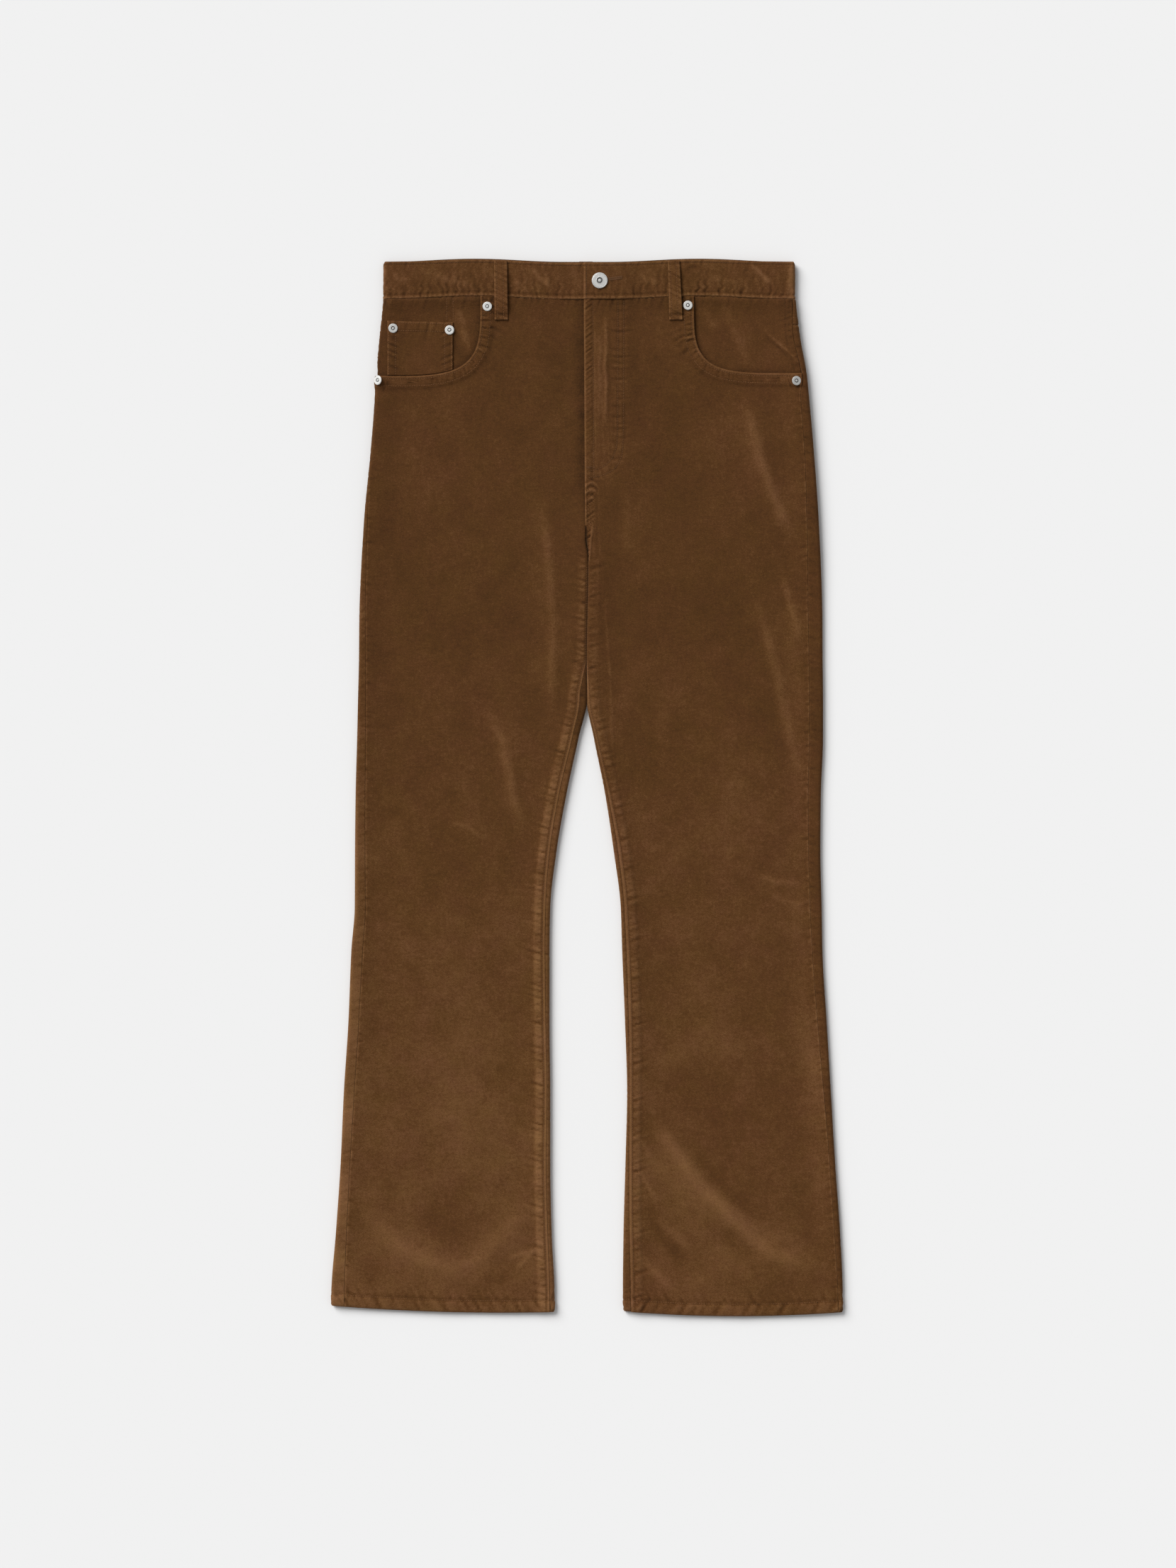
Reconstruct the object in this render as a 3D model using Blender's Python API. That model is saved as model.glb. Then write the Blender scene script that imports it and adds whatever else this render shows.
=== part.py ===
"""Velvet bootcut jeans, laid flat and face up, at real size.

Lengths are in millimetres until a mesh is made, where MM turns them into metres. X runs across the
garment with the wearer's right at -X, Y runs up it from hem to waist, and Z stands on the floor that
the backs of the legs lie on. Each side of the jeans is a flattened tube. A point on its cloth is given
by g, the distance round the section from the outer fold, and by y, the height along the garment.
"""
import math
from collections import namedtuple
from types import SimpleNamespace

import bmesh
import bpy
import numpy as np
from mathutils import Matrix, Vector

MM = 0.001

# Cloth
CLOTH = 1.5
FACING_CLOTH = 1.2
BAND_CLOTH = 2.6
HEM_CLOTH = 2.6
HEM_DEPTH = 13.0
SEAM_GAP = 0.3
LAYER_GAP = 0.3

# Waist and hem lines
WAIST_SEAM = 528.0
WAIST_RISE = 3.4
WAIST_LEVEL = 24.0
WAIST_FOLD = 218.0
BAND_WIDTH = 40.8
FRONT_DIP = 1.2
HEM_LINE = -567.6
BEND_LENGTH = 120.0

# Crotch: the centre seam turns down into the groove between the legs
TURN_START = 289.0
TURN_END = 246.0

# Fly
FLY_UNDER = 5.4
FLY_TOP = 8.4
UNDERLAP = 36.0
UNDERLAP_START = 360.0
UNDERLAP_END = 325.0

# Hip pockets
POCKET_HEM = 11.0
POCKET_RISE = 1.0
FACING_DEPTH = 2.0
FACING_REACH = 22.0
FACING_JOIN = 12.0
COIN_CLOTH = 1.1
COIN_GAP = 0.6

ROLL_WIDTH = 20.0
ALLOWANCE_WIDTH = 12.0
ALLOWANCE_RISE = 0.7
LEAST_STEP = 1.2

# Sections of the two sides. The folds are places in X; outseam and inseam are how far each seam lies in
# from its fold, over the front, or under the back where the number is below zero.
SECTION_COLUMNS = ("y", "outer_fold", "outseam", "inner_fold", "inseam")
RIGHT_SECTIONS = (
    (540, -220.5, -2.0, -3.1, 0.0),
    (528, -221.0, -2.0, -3.1, 0.0),
    (485, -225.0, -2.0, -2.8, 0.0),
    (446, -228.6, -2.0, -2.6, 0.0),
    (423, -229.6, -2.0, -2.5, 0.0),
    (362, -234.2, -1.5, -2.2, 0.0),
    (297, -240.6, 4.0, -1.8, 0.0),
    (270, -242.4, 4.9, -1.4, 0.0),
    (246, -243.9, 5.6, 1.4, 0.0),
    (185, -246.4, 6.9, 0.4, 0.0),
    (140, -246.8, 7.6, -0.3, 0.0),
    (120, -247.2, 8.1, 0.0, 3.8),
    (97, -247.8, 8.7, 0.0, 8.6),
    (54, -248.8, 9.6, -9.2, 9.0),
    (-7, -250.4, 10.7, -22.3, 8.4),
    (-68, -251.1, 11.4, -33.0, 7.5),
    (-130, -251.4, 12.0, -39.9, 5.2),
    (-176, -255.0, 12.8, -40.7, 5.2),
    (-253, -258.2, 11.7, -40.7, 4.9),
    (-330, -263.2, 11.8, -39.9, 5.6),
    (-406, -266.6, 10.6, -39.9, 5.2),
    (-483, -271.9, 12.1, -38.4, 5.1),
    (-545, -276.7, 14.6, -35.3, 6.1),
    (-580, -277.3, 14.8, -35.1, 6.1),
)
LEFT_SECTIONS = (
    (540, 225.3, 4.0, -3.1, 0.0),
    (528, 226.0, 4.1, -3.1, 0.0),
    (485, 231.2, 7.4, -2.8, 0.0),
    (446, 238.1, 5.4, -2.6, 0.0),
    (423, 240.4, 9.1, -2.5, 0.0),
    (362, 245.8, 10.0, -2.2, 0.0),
    (297, 250.5, 12.6, -1.8, 0.0),
    (270, 251.9, 13.1, -1.4, 0.0),
    (246, 253.1, 14.0, 1.4, 0.0),
    (185, 255.0, 15.4, 0.4, 0.0),
    (140, 255.2, 14.7, -0.3, 0.0),
    (120, 255.5, 14.7, 0.0, 0.8),
    (97, 255.7, 14.7, 0.0, 2.1),
    (54, 255.7, 14.7, 7.7, 3.5),
    (-7, 253.4, 13.8, 20.0, 4.8),
    (-68, 252.8, 12.8, 29.2, 6.9),
    (-130, 254.2, 12.4, 36.9, 5.9),
    (-176, 255.0, 10.8, 38.4, 7.0),
    (-253, 259.6, 9.8, 41.5, 6.4),
    (-330, 264.2, 7.7, 43.8, 4.6),
    (-406, 268.8, 6.0, 42.0, 5.3),
    (-483, 274.2, 6.0, 39.9, 8.8),
    (-545, 277.0, 5.4, 39.2, 10.8),
    (-580, 277.3, 5.4, 40.4, 10.8),
)

# Heights of the outer face: under the garment, and on top near each fold and between them.
LEVEL_COLUMNS = ("y", "underside", "outer_edge", "middle", "inner_edge")
LEVELS = (
    (540, 2.1, 9.9, 7.2, 7.2),
    (430, 2.1, 9.9, 7.2, 7.2),
    (330, 2.1, 9.2, 7.0, 7.2),
    (262, 2.1, 8.6, 6.0, 8.2),
    (190, 0.0, 7.0, 4.6, 7.4),
    (80, 0.0, 6.8, 4.0, 6.8),
    (-160, 0.0, 6.6, 4.0, 6.6),
    (-500, 0.0, 6.6, 4.2, 6.6),
    (-540, 0.0, 6.6, 5.9, 6.6),
    (-580, 0.0, 6.5, 5.9, 6.5),
)

# Largest folds of the cloth: a soft ridge along two straight runs.
FOLD_COLUMNS = ("side", "x0", "y0", "x1", "y1", "x2", "y2", "height", "width")
FOLDS = (
    ("right", -43, 320, -36, 150, -40, 30, 1.9, 15),
    ("right", -84, 80, -80, -10, -62, -55, 1.2, 16),
    ("right", -254, -430, -196, -500, -118, -528, 2.2, 18),
    ("right", -50, -430, -82, -490, -128, -520, 1.5, 16),
    ("left", 172, 428, 194, 320, 216, 235, 2.1, 16),
    ("left", 216, 235, 232, 120, 240, 10, 1.8, 16),
    ("left", 50, 240, 56, 120, 48, 40, 1.1, 18),
    ("left", 62, -352, 122, -440, 182, -494, 3.0, 18),
    ("left", 182, -494, 225, -512, 268, -522, 2.4, 17),
    ("left", 56, -420, 104, -478, 150, -520, 1.4, 15),
)

# Belt loops: centre, the lean of the centre line from top to bottom, and the side of the garment it is on.
LOOP_WIDTH = 14.4
LOOP_CLOTH = 1.8
LOOP_LOW = 505.6
LOOP_HIGH = 569.6
LOOP_COLUMNS = ("name", "x", "lean", "face")
LOOPS = (
    ("belt_loop_front_right", -92.9, 0.8, "front"),
    ("belt_loop_front_left", 95.1, 2.4, "front"),
    ("belt_loop_side_right", -128.0, 0.0, "back"),
    ("belt_loop_side_left", 128.0, 0.0, "back"),
    ("belt_loop_back", -1.0, 0.0, "back"),
)

# Waistband levels of the outer face
BAND_UNDERLAP = 7.6
BAND_OVERLAP = 10.5
BAND_FRONT = 8.4
BAND_BACK = 2.1
BAND_END = -3.5
BAND_BULGE = 0.3

# Button and its keyhole buttonhole
BUTTON_X = 13.8
BUTTON_Y = 549.5
BUTTON_RADIUS = 8.5
SHANK_RADIUS = 2.0
EYELET_RADIUS = 2.3
SLIT_LENGTH = 24.0
SLIT_WIDTH = 1.0
SLIT_ANGLE = math.radians(8)

# Rivets: the side whose cloth each one sits on, its place, and the layer it is fixed to.
RIVET_RADIUS = 5.0
RIVET_COLUMNS = ("name", "side", "x", "y", "layer")
RIVETS = (
    ("rivet_waist_right", "right", -107.7, 521.3, "front"),
    ("rivet_hip_right", "right", -227.9, 441.0, "front"),
    ("rivet_coin_outer", "right", -209.6, 497.6, "coin"),
    ("rivet_coin_inner", "right", -148.6, 496.0, "coin"),
    ("rivet_waist_left", "left", 109.2, 522.5, "front"),
    ("rivet_hip_left", "left", 226.6, 440.6, "front"),
)

# Coin pocket corners
COIN_LEFT = -215.8
COIN_RIGHT = -145.0
COIN_TOP_LEFT = 504.6
COIN_TOP_RIGHT = 503.4

# Back patch pockets, from the top edge down, for the wearer's left; the other is its mirror.
BACK_POCKET_X = 112.0
BACK_POCKET_TOP = 434.0
BACK_POCKET_HEIGHT = 158.0
BACK_POCKET_SIDE = 132.0
BACK_POCKET_TOP_WIDTH = 152.0
BACK_POCKET_LOW_WIDTH = 128.0
BACK_POCKET_CLOTH = 1.8

# Yoke seam: height at the side fold and at the centre back
YOKE_SIDE = 500.0
YOKE_CENTRE = 464.0

# Zip
ZIP_X = 20.0
ZIP_WIDTH = 24.0
ZIP_LOW = 395.0
ZIP_TAPE = 0.5
ZIP_CHAIN_WIDTH = 5.0
ZIP_CHAIN = 0.9

Side = namedtuple("Side", "name inward sections hem_outer hem_inner hem_dip scoop_x scoop_y scoop_power")
RIGHT = Side("right", 1, RIGHT_SECTIONS, -560.6, -567.6, 3.4, -115.2, 444.9, 4.2)
LEFT = Side("left", -1, LEFT_SECTIONS, -567.6, -566.8, 5.0, 116.0, 448.1, 4.5)

MATERIALS = {
    "velvet": ((0.105, 0.045, 0.016), 0.85, 0.0),
    "metal": ((0.62, 0.61, 0.60), 0.32, 1.0),
    "zip_tape": ((0.075, 0.032, 0.012), 0.8, 0.0),
}


def clear_scene():
    """Removes every object that the file opens with."""
    for thing in list(bpy.data.objects):
        bpy.data.objects.remove(thing, do_unlink=True)


def material(name):
    """Finds or makes one of the materials."""
    if name in bpy.data.materials:
        return bpy.data.materials[name]
    colour, roughness, metallic = MATERIALS[name]
    made = bpy.data.materials.new(name)
    made.use_nodes = True
    shader = made.node_tree.nodes["Principled BSDF"]
    shader.inputs["Base Color"].default_value = (*colour, 1.0)
    shader.inputs["Roughness"].default_value = roughness
    shader.inputs["Metallic"].default_value = metallic
    made.diffuse_color = (*colour, 1.0)
    return made


# ---------------------------------------------------------------- reading the tables

def ramp(value, start, end):
    """Rises smoothly from 0 at start to 1 at end."""
    share = np.clip((value - start) / (end - start), 0.0, 1.0)
    return share * share * (3.0 - 2.0 * share)


def read(table, columns, name, y):
    """Reads one column of a table at heights y, smoothly and without overshoot."""
    rows = sorted(table)
    at = np.array([row[0] for row in rows], dtype=float)
    value = np.array([row[columns.index(name)] for row in rows], dtype=float)
    step = np.diff(at)
    slope = np.diff(value) / step
    turning = slope[:-1] * slope[1:] <= 0.0
    first = 2.0 * step[1:] + step[:-1]
    second = step[1:] + 2.0 * step[:-1]
    before = np.where(turning, 1.0, slope[:-1])
    after = np.where(turning, 1.0, slope[1:])
    mean = (first + second) / (first / before + second / after)
    tangent = np.concatenate(([slope[0]], np.where(turning, 0.0, mean), [slope[-1]]))
    y = np.clip(np.asarray(y, dtype=float), at[0], at[-1])
    low = np.clip(np.searchsorted(at, y, side="right") - 1, 0, len(step) - 1)
    share = (y - at[low]) / step[low]
    return (value[low] * (1 + 2 * share) * (1 - share) ** 2
            + tangent[low] * step[low] * share * (1 - share) ** 2
            + value[low + 1] * share ** 2 * (3 - 2 * share)
            + tangent[low + 1] * step[low] * share ** 2 * (share - 1))


def section(side, y):
    """The section of one side at heights y: its folds, seams, levels, fold radii and girths."""
    cut = SimpleNamespace()
    for name in SECTION_COLUMNS[1:]:
        setattr(cut, name, read(side.sections, SECTION_COLUMNS, name, y))
    for name in LEVEL_COLUMNS[1:]:
        setattr(cut, name, read(LEVELS, LEVEL_COLUMNS, name, y))
    cut.inner_fold = cut.inner_fold - side.inward * SEAM_GAP / 2
    cut.width = (cut.inner_fold - cut.outer_fold) * side.inward
    cut.outer_radius = (cut.outer_edge - cut.underside) / 2
    cut.inner_radius = (cut.inner_edge - cut.underside) / 2
    cut.turn = np.radians(90.0) * (1.0 - ramp(y, TURN_END, TURN_START))
    cut.outer_arc = cut.outer_radius * math.pi / 2
    cut.inner_arc = cut.inner_radius * cut.turn
    flat = cut.width - cut.outer_radius - cut.inner_radius * np.sin(cut.turn)
    cut.girth = cut.outer_arc + flat + cut.inner_arc
    return cut


def along(inset, radius):
    """Distance round a fold of the given radius to a point that lies inset from the fold's edge."""
    bent = radius * np.arccos(np.clip(1.0 - np.abs(inset) / radius, 0.0, 1.0))
    straight = radius * math.pi / 2 + np.abs(inset) - radius
    return np.sign(inset) * np.where(np.abs(inset) < radius, bent, straight)


# ---------------------------------------------------------------- the cloth's form

def run_gap(x, y, start, end):
    """Distance from points to a straight run, and how far along the run each one lies."""
    run = end - start
    t = np.clip(((x - start[0]) * run[0] + (y - start[1]) * run[1]) / run.dot(run), 0.0, 1.0)
    return np.hypot(x - start[0] - t * run[0], y - start[1] - t * run[1]), t


def creases(side, x, y):
    """Height that the largest folds add to the front."""
    total = np.zeros_like(x)
    for fold in FOLDS:
        row = dict(zip(FOLD_COLUMNS, fold))
        if row["side"] != side.name:
            continue
        corners = [np.array([row["x%d" % i], row["y%d" % i]], dtype=float) for i in range(3)]
        reach = np.full_like(x, 1e9)
        share = np.zeros_like(x)
        for part, (start, end) in enumerate(zip(corners[:-1], corners[1:])):
            gap, t = run_gap(x, y, start, end)
            nearer = gap < reach
            share = np.where(nearer, (part + t) / 2.0, share)
            reach = np.where(nearer, gap, reach)
        fade = ramp(share, 0.0, 0.25) * ramp(1.0 - share, 0.0, 0.25)
        total += row["height"] * fade * np.exp(-(reach / row["width"]) ** 2)
    return total


def front_height(side, x, y, cut, folded=True):
    """Height of the front's outer face, where it lies flat between its folds."""
    from_outer = np.maximum((x - cut.outer_fold) * side.inward - cut.outer_radius, 0.0)
    from_inner = np.maximum((cut.inner_fold - x) * side.inward - cut.inner_radius, 0.0)
    height = cut.middle + (cut.outer_edge - cut.middle) * np.exp(-(from_outer / ROLL_WIDTH) ** 2)
    height = height + (cut.inner_edge - cut.middle) * np.exp(-(from_inner / ROLL_WIDTH) ** 2)
    if folded:
        height = height + creases(side, x, y)
    if side is RIGHT:
        share = ramp(x, -60.0, -14.0) * ramp(y, 288.0, 322.0)
        return height + (FLY_UNDER - height) * share
    share = (1.0 - ramp(x, 38.0, 62.0)) * ramp(y, 290.0, 322.0)
    return height + (FLY_TOP - height) * share


def skin(side, g, y, folded=True):
    """Outer face of the cloth at g round the section: above zero over the front, below under the back."""
    cut = section(side, y)
    wrapped = -g - cut.girth
    wraps = wrapped > 0.001
    over = (g >= 0.0) | wraps
    run = np.where(wraps, cut.girth - wrapped, np.abs(g))
    lean = np.clip(run / cut.outer_radius, 0.0, math.pi / 2)
    from_end = cut.girth - run
    bend = np.where(cut.inner_arc > 1e-6, np.clip(cut.turn - from_end / cut.inner_radius, 0.0, None), 0.0)
    inset = np.where(run < cut.outer_arc, cut.outer_radius * (1.0 - np.cos(lean)),
                     cut.outer_radius + run - cut.outer_arc)
    rounded = cut.width - cut.inner_radius * (np.sin(cut.turn) - np.sin(bend))
    inset = np.where(bend > 0.0, rounded, inset)
    x = cut.outer_fold + side.inward * inset
    flat = np.where(over, front_height(side, x, y, cut, folded), cut.underside)
    outer_middle = cut.underside + cut.outer_radius
    inner_middle = cut.underside + cut.inner_radius
    z = flat + (outer_middle - flat) * (1.0 - np.sin(lean)) + (inner_middle - flat) * (1.0 - np.cos(bend))
    return np.stack([x, y, z], axis=-1)


def outward(side, g, y, folded=True):
    """Unit normals of the skin."""
    around = skin(side, g + 0.25, y, folded) - skin(side, g - 0.25, y, folded)
    upward = skin(side, g, y + 1.0, folded) - skin(side, g, y - 1.0, folded)
    normal = side.inward * np.cross(around, upward)
    return normal / np.linalg.norm(normal, axis=-1, keepdims=True)


def waist_line(x):
    """Height of the waistband's lower seam."""
    share = np.clip((np.abs(x) - WAIST_LEVEL) / (WAIST_FOLD - WAIST_LEVEL), 0.0, 1.0)
    return WAIST_SEAM + WAIST_RISE * np.sin(math.pi * share) ** 2


def bend_rows(side, g, y):
    """Bends level rows to follow the hem and the waist seam near their ends."""
    cut = section(side, np.clip(y, HEM_LINE, WAIST_SEAM))
    share = np.clip(np.abs(g) / cut.girth, 0.0, 1.0)
    hem = side.hem_outer + (side.hem_inner - side.hem_outer) * share - side.hem_dip * 4 * share * (1 - share)
    x = cut.outer_fold + side.inward * np.abs(g)
    low = 1.0 - ramp(y, HEM_LINE, HEM_LINE + BEND_LENGTH)
    high = ramp(y, WAIST_SEAM - BEND_LENGTH, WAIST_SEAM)
    return y + (hem - HEM_LINE) * low + (waist_line(x) - WAIST_SEAM) * high


# ---------------------------------------------------------------- making solids

def finish(name, bm, slot):
    """Turns a bmesh in millimetres into a named object with its faces pointing out."""
    bmesh.ops.scale(bm, vec=Vector((MM, MM, MM)), verts=bm.verts)
    bmesh.ops.recalc_face_normals(bm, faces=bm.faces)
    if bm.calc_volume(signed=True) < 0.0:
        bmesh.ops.reverse_faces(bm, faces=bm.faces)
    mesh = bpy.data.meshes.new(name)
    bm.to_mesh(mesh)
    bm.free()
    mesh.materials.append(material(slot))
    mesh.shade_smooth()
    mesh.set_sharp_from_angle(angle=math.radians(40))
    thing = bpy.data.objects.new(name, mesh)
    bpy.context.scene.collection.objects.link(thing)
    return thing


def wall(name, outer, inner, slot="velvet"):
    """A closed wall between two grids of points, each rows by columns."""
    rows, columns = outer.shape[:2]
    bm = bmesh.new()
    faces = [[[bm.verts.new(point) for point in row] for row in grid] for grid in (outer, inner)]
    for grid in faces:
        for i in range(rows - 1):
            for j in range(columns - 1):
                bm.faces.new((grid[i][j], grid[i][j + 1], grid[i + 1][j + 1], grid[i + 1][j]))
    top, under = faces
    rim = [(0, j) for j in range(columns)] + [(i, columns - 1) for i in range(1, rows)]
    rim += [(rows - 1, j) for j in range(columns - 2, -1, -1)] + [(i, 0) for i in range(rows - 2, 0, -1)]
    for (i, j), (k, m) in zip(rim, rim[1:] + rim[:1]):
        bm.faces.new((top[i][j], top[k][m], under[k][m], under[i][j]))
    return finish(name, bm, slot)


def cloth_wall(name, side, g, y, thickness=CLOTH, depth=0.0, proud=0.0, folded=True):
    """A wall that follows the skin: proud stands outside it, and depth sinks the whole wall."""
    face = skin(side, g, y, folded)
    normal = outward(side, g, y, folded)
    depth = np.broadcast_to(depth, g.shape)[..., None]
    proud = np.broadcast_to(proud, g.shape)[..., None]
    thickness = np.broadcast_to(thickness, g.shape)[..., None]
    return wall(name, face + normal * (proud - depth), face - normal * (depth + thickness))


def lathe(name, profile, place, slot="metal", segments=20):
    """Turns a profile of (radius, height) points about Z and places it by a matrix in millimetres."""
    bm = bmesh.new()
    points = [bm.verts.new((radius, 0.0, height)) for radius, height in profile]
    edges = [bm.edges.new(pair) for pair in zip(points, points[1:])]
    bmesh.ops.spin(bm, geom=points + edges, cent=(0, 0, 0), axis=(0, 0, 1), angle=math.tau,
                   steps=segments, use_merge=True)
    bmesh.ops.remove_doubles(bm, verts=bm.verts, dist=0.001)
    bmesh.ops.transform(bm, matrix=place, verts=bm.verts)
    return finish(name, bm, slot)


def prism(name, outline, low, high, slot="velvet"):
    """A flat outline of (x, y) points, raised from low to high."""
    bm = bmesh.new()
    face = bm.faces.new([bm.verts.new((x, y, low)) for x, y in outline])
    raised = bmesh.ops.extrude_face_region(bm, geom=[face])["geom"]
    lifted = [item for item in raised if isinstance(item, bmesh.types.BMVert)]
    bmesh.ops.translate(bm, vec=(0, 0, high - low), verts=lifted)
    return finish(name, bm, slot)


# ---------------------------------------------------------------- panels

HEM_ROWS = (0.0, 6.5, HEM_DEPTH, HEM_DEPTH + 1.0, 40.0)
LEG_ROWS = (-470, -410, -350, -290, -230, -170, -120, -75, -35, 5, 54, 97, 120, 140, 165, 190, 218, 246,
            257, 268, 279, 289, 325, 342, 360)
LEG_TOP = LEG_ROWS[-1]
HIP_ROWS = 3
SIDE_ROWS = (0.0, 9.0, 18.0, 36.0)
YOKE_ROWS = 4
SCOOP_ACROSS = (0.0, 0.015, 0.03, 0.046, 0.07, 0.11, 0.17, 0.26, 0.4, 0.58, 0.76, 0.9)
SCOOP_DOWN = (0.7, 0.48, 0.25, 0.0)
OUTER_STEPS = (0.0, 1.8, 3.6, 5.4, 7.2, 9.5, 14.0, 20.0, 28.0, 38.0)
INNER_STEPS = (0.0, 1.8, 3.6, 5.5, 12.0, 22.0)
FRONT_COLUMNS = 7
ARC_SHARES = (1.0, 2 / 3, 1 / 3, 0.0, -1 / 3, -2 / 3, -1.0)
BACK_COLUMNS = 4
YOKE_COLUMNS = 11
LAST_HEM_ROW = 3


def leg_rows():
    """Heights of a leg panel's rows, from the hem to the hip."""
    return np.array([HEM_LINE + row for row in HEM_ROWS] + list(LEG_ROWS), dtype=float)


def hip_rows(side):
    """Heights of the rows from the leg up to the pocket's corner, both ends left out."""
    return np.linspace(LEG_TOP, side.scoop_y, HIP_ROWS + 2)[1:-1]


def side_rows(side):
    """Heights of the rows at the outseam beside the pocket, up to the yoke seam."""
    return np.array([side.scoop_y + row for row in SIDE_ROWS] + [YOKE_SIDE])


def yoke_rows():
    """Heights of the rows at the outseam beside the yoke."""
    return np.linspace(YOKE_SIDE, WAIST_SEAM, YOKE_ROWS)


def scoop_edge(side):
    """Points of the pocket's scooped edge, from the outseam to the waist, as unrolled x and y."""
    cut = section(side, side.scoop_y)
    start = cut.outer_fold + side.inward * (cut.outseam + SEAM_GAP / 2)
    power = side.scoop_power
    across, down = np.array(SCOOP_ACROSS), np.array(SCOOP_DOWN)
    across, down = (np.concatenate((across, (1.0 - down ** power) ** (1.0 / power))),
                    np.concatenate(((1.0 - across ** power) ** (1.0 / power), down)))
    x = start + (side.scoop_x - start) * across
    top = waist_line(np.array(side.scoop_x)) - SEAM_GAP / 2
    return x, top + (side.scoop_y - top) * down


def inner_edge(side, y):
    """The front panel's inner edge: the inseam, the centre seam, and the underlap on the right."""
    cut = section(side, y)
    edge = cut.girth - along(cut.inseam, cut.inner_radius)
    edge = edge - np.where(cut.turn > math.radians(89.9), SEAM_GAP / 2, 0.0)
    if side is RIGHT:
        edge = edge + UNDERLAP * ramp(y, UNDERLAP_END, UNDERLAP_START)
    return edge


def outer_edge(side, y):
    """The front panel's outer edge along the outseam."""
    cut = section(side, y)
    return along(cut.outseam, cut.outer_radius) + SEAM_GAP / 2


def front_columns(outer_g, inner_g):
    """Columns of a front panel: close together near its edges, even between them."""
    run = inner_g - outer_g
    columns = [outer_g + step for step in OUTER_STEPS]
    first, last = OUTER_STEPS[-1], run - INNER_STEPS[-1]
    for number in range(1, FRONT_COLUMNS + 1):
        columns.append(outer_g + first + (last - first) * number / (FRONT_COLUMNS + 1))
    columns += [inner_g - step for step in reversed(INNER_STEPS)]
    return np.stack(columns, axis=-1)


def front_panel(side):
    """A front leg panel, ruled between its outer edge with the scoop and its inner edge."""
    low = np.concatenate((leg_rows(), hip_rows(side)))
    scoop_x, scoop_y = scoop_edge(side)
    outer_y = np.concatenate((low, scoop_y))
    climb = len(outer_y) - len(leg_rows())
    inner_y = np.concatenate((leg_rows(), np.linspace(LEG_TOP, WAIST_SEAM, climb + 1)[1:]))
    cut = section(side, scoop_y)
    on_scoop = along((scoop_x - cut.outer_fold) * side.inward, cut.outer_radius)
    outer_g = np.concatenate((outer_edge(side, low), on_scoop))
    g = front_columns(outer_g, inner_edge(side, inner_y))
    across = (g - g[:, :1]) / (g[:, -1:] - g[:, :1])
    level = outer_y[:, None] + (inner_y - outer_y)[:, None] * across
    bent = bend_rows(side, g, level)
    on_scoop_rows = (np.arange(len(outer_y)) >= len(low))[:, None]
    y = bent + (level - bent) * np.where(on_scoop_rows, 1.0 - across, 0.0)
    outer_g[:len(low)] = outer_edge(side, y[:len(low), 0])
    g = front_columns(outer_g, inner_edge(side, y[:, -1]))
    y[-1] = waist_line(skin(side, g[-1], y[-1])[:, 0]) - SEAM_GAP / 2
    in_hem = (np.arange(len(outer_y)) < LAST_HEM_ROW)[:, None]
    thickness = np.where(in_hem, HEM_CLOTH, CLOTH)
    return cloth_wall("front_" + side.name, side, g, y, thickness=thickness,
                      proud=front_thickening(side, g, y))


def front_thickening(side, g, y):
    """Extra thickness of the front: the inseam's allowances and the pocket's turned edge."""
    cut = section(side, y)
    from_seam = cut.girth - along(cut.inseam, cut.inner_radius) - g
    in_leg = ramp(-y, -150.0, -110.0)
    allowance = ALLOWANCE_RISE * in_leg * (1.0 - ramp(from_seam, ALLOWANCE_WIDTH - 3, ALLOWANCE_WIDTH + 3))
    x = np.where(g < cut.outer_arc, cut.outer_fold + side.inward * g, skin(side, g, y)[..., 0])
    edge = np.stack(scoop_edge(side), axis=-1)
    gap = np.full_like(x, 1e9)
    for start, end in zip(edge[:-1], edge[1:]):
        gap = np.minimum(gap, run_gap(x, y, start, end)[0])
    hemmed = POCKET_RISE * (1.0 - ramp(gap, POCKET_HEM, POCKET_HEM + 4.0))
    return allowance + hemmed


def spaced(targets, edge):
    """Column places at the targets, but at least LEAST_STEP apart, counted from a piece's edge."""
    columns = [edge]
    for target in targets:
        columns.append(np.maximum(target, columns[-1] + LEAST_STEP))
    return columns


def back_columns(side, y, count):
    """Columns of a back piece: round the outer fold, count across the back, round the inner fold."""
    cut = section(side, y)
    outer_end = along(cut.outseam, cut.outer_radius) - SEAM_GAP / 2
    inner_end = along(cut.inseam, cut.inner_radius)
    inner_end = inner_end - np.where(cut.turn > math.radians(89.9), SEAM_GAP / 2, 0.0)
    start = spaced([outer_end - cut.outer_arc * share for share in ARC_SHARES], 0.0 * y)
    stop = spaced([inner_end - cut.inner_arc * share for share in ARC_SHARES], 0.0 * y)
    start = [outer_end - place for place in start]
    stop = [-cut.girth - inner_end + place for place in stop]
    middle = [start[-1] + (stop[-1] - start[-1]) * number / (count + 1) for number in range(1, count + 1)]
    return np.stack(start + middle + stop[::-1], axis=-1)


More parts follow.
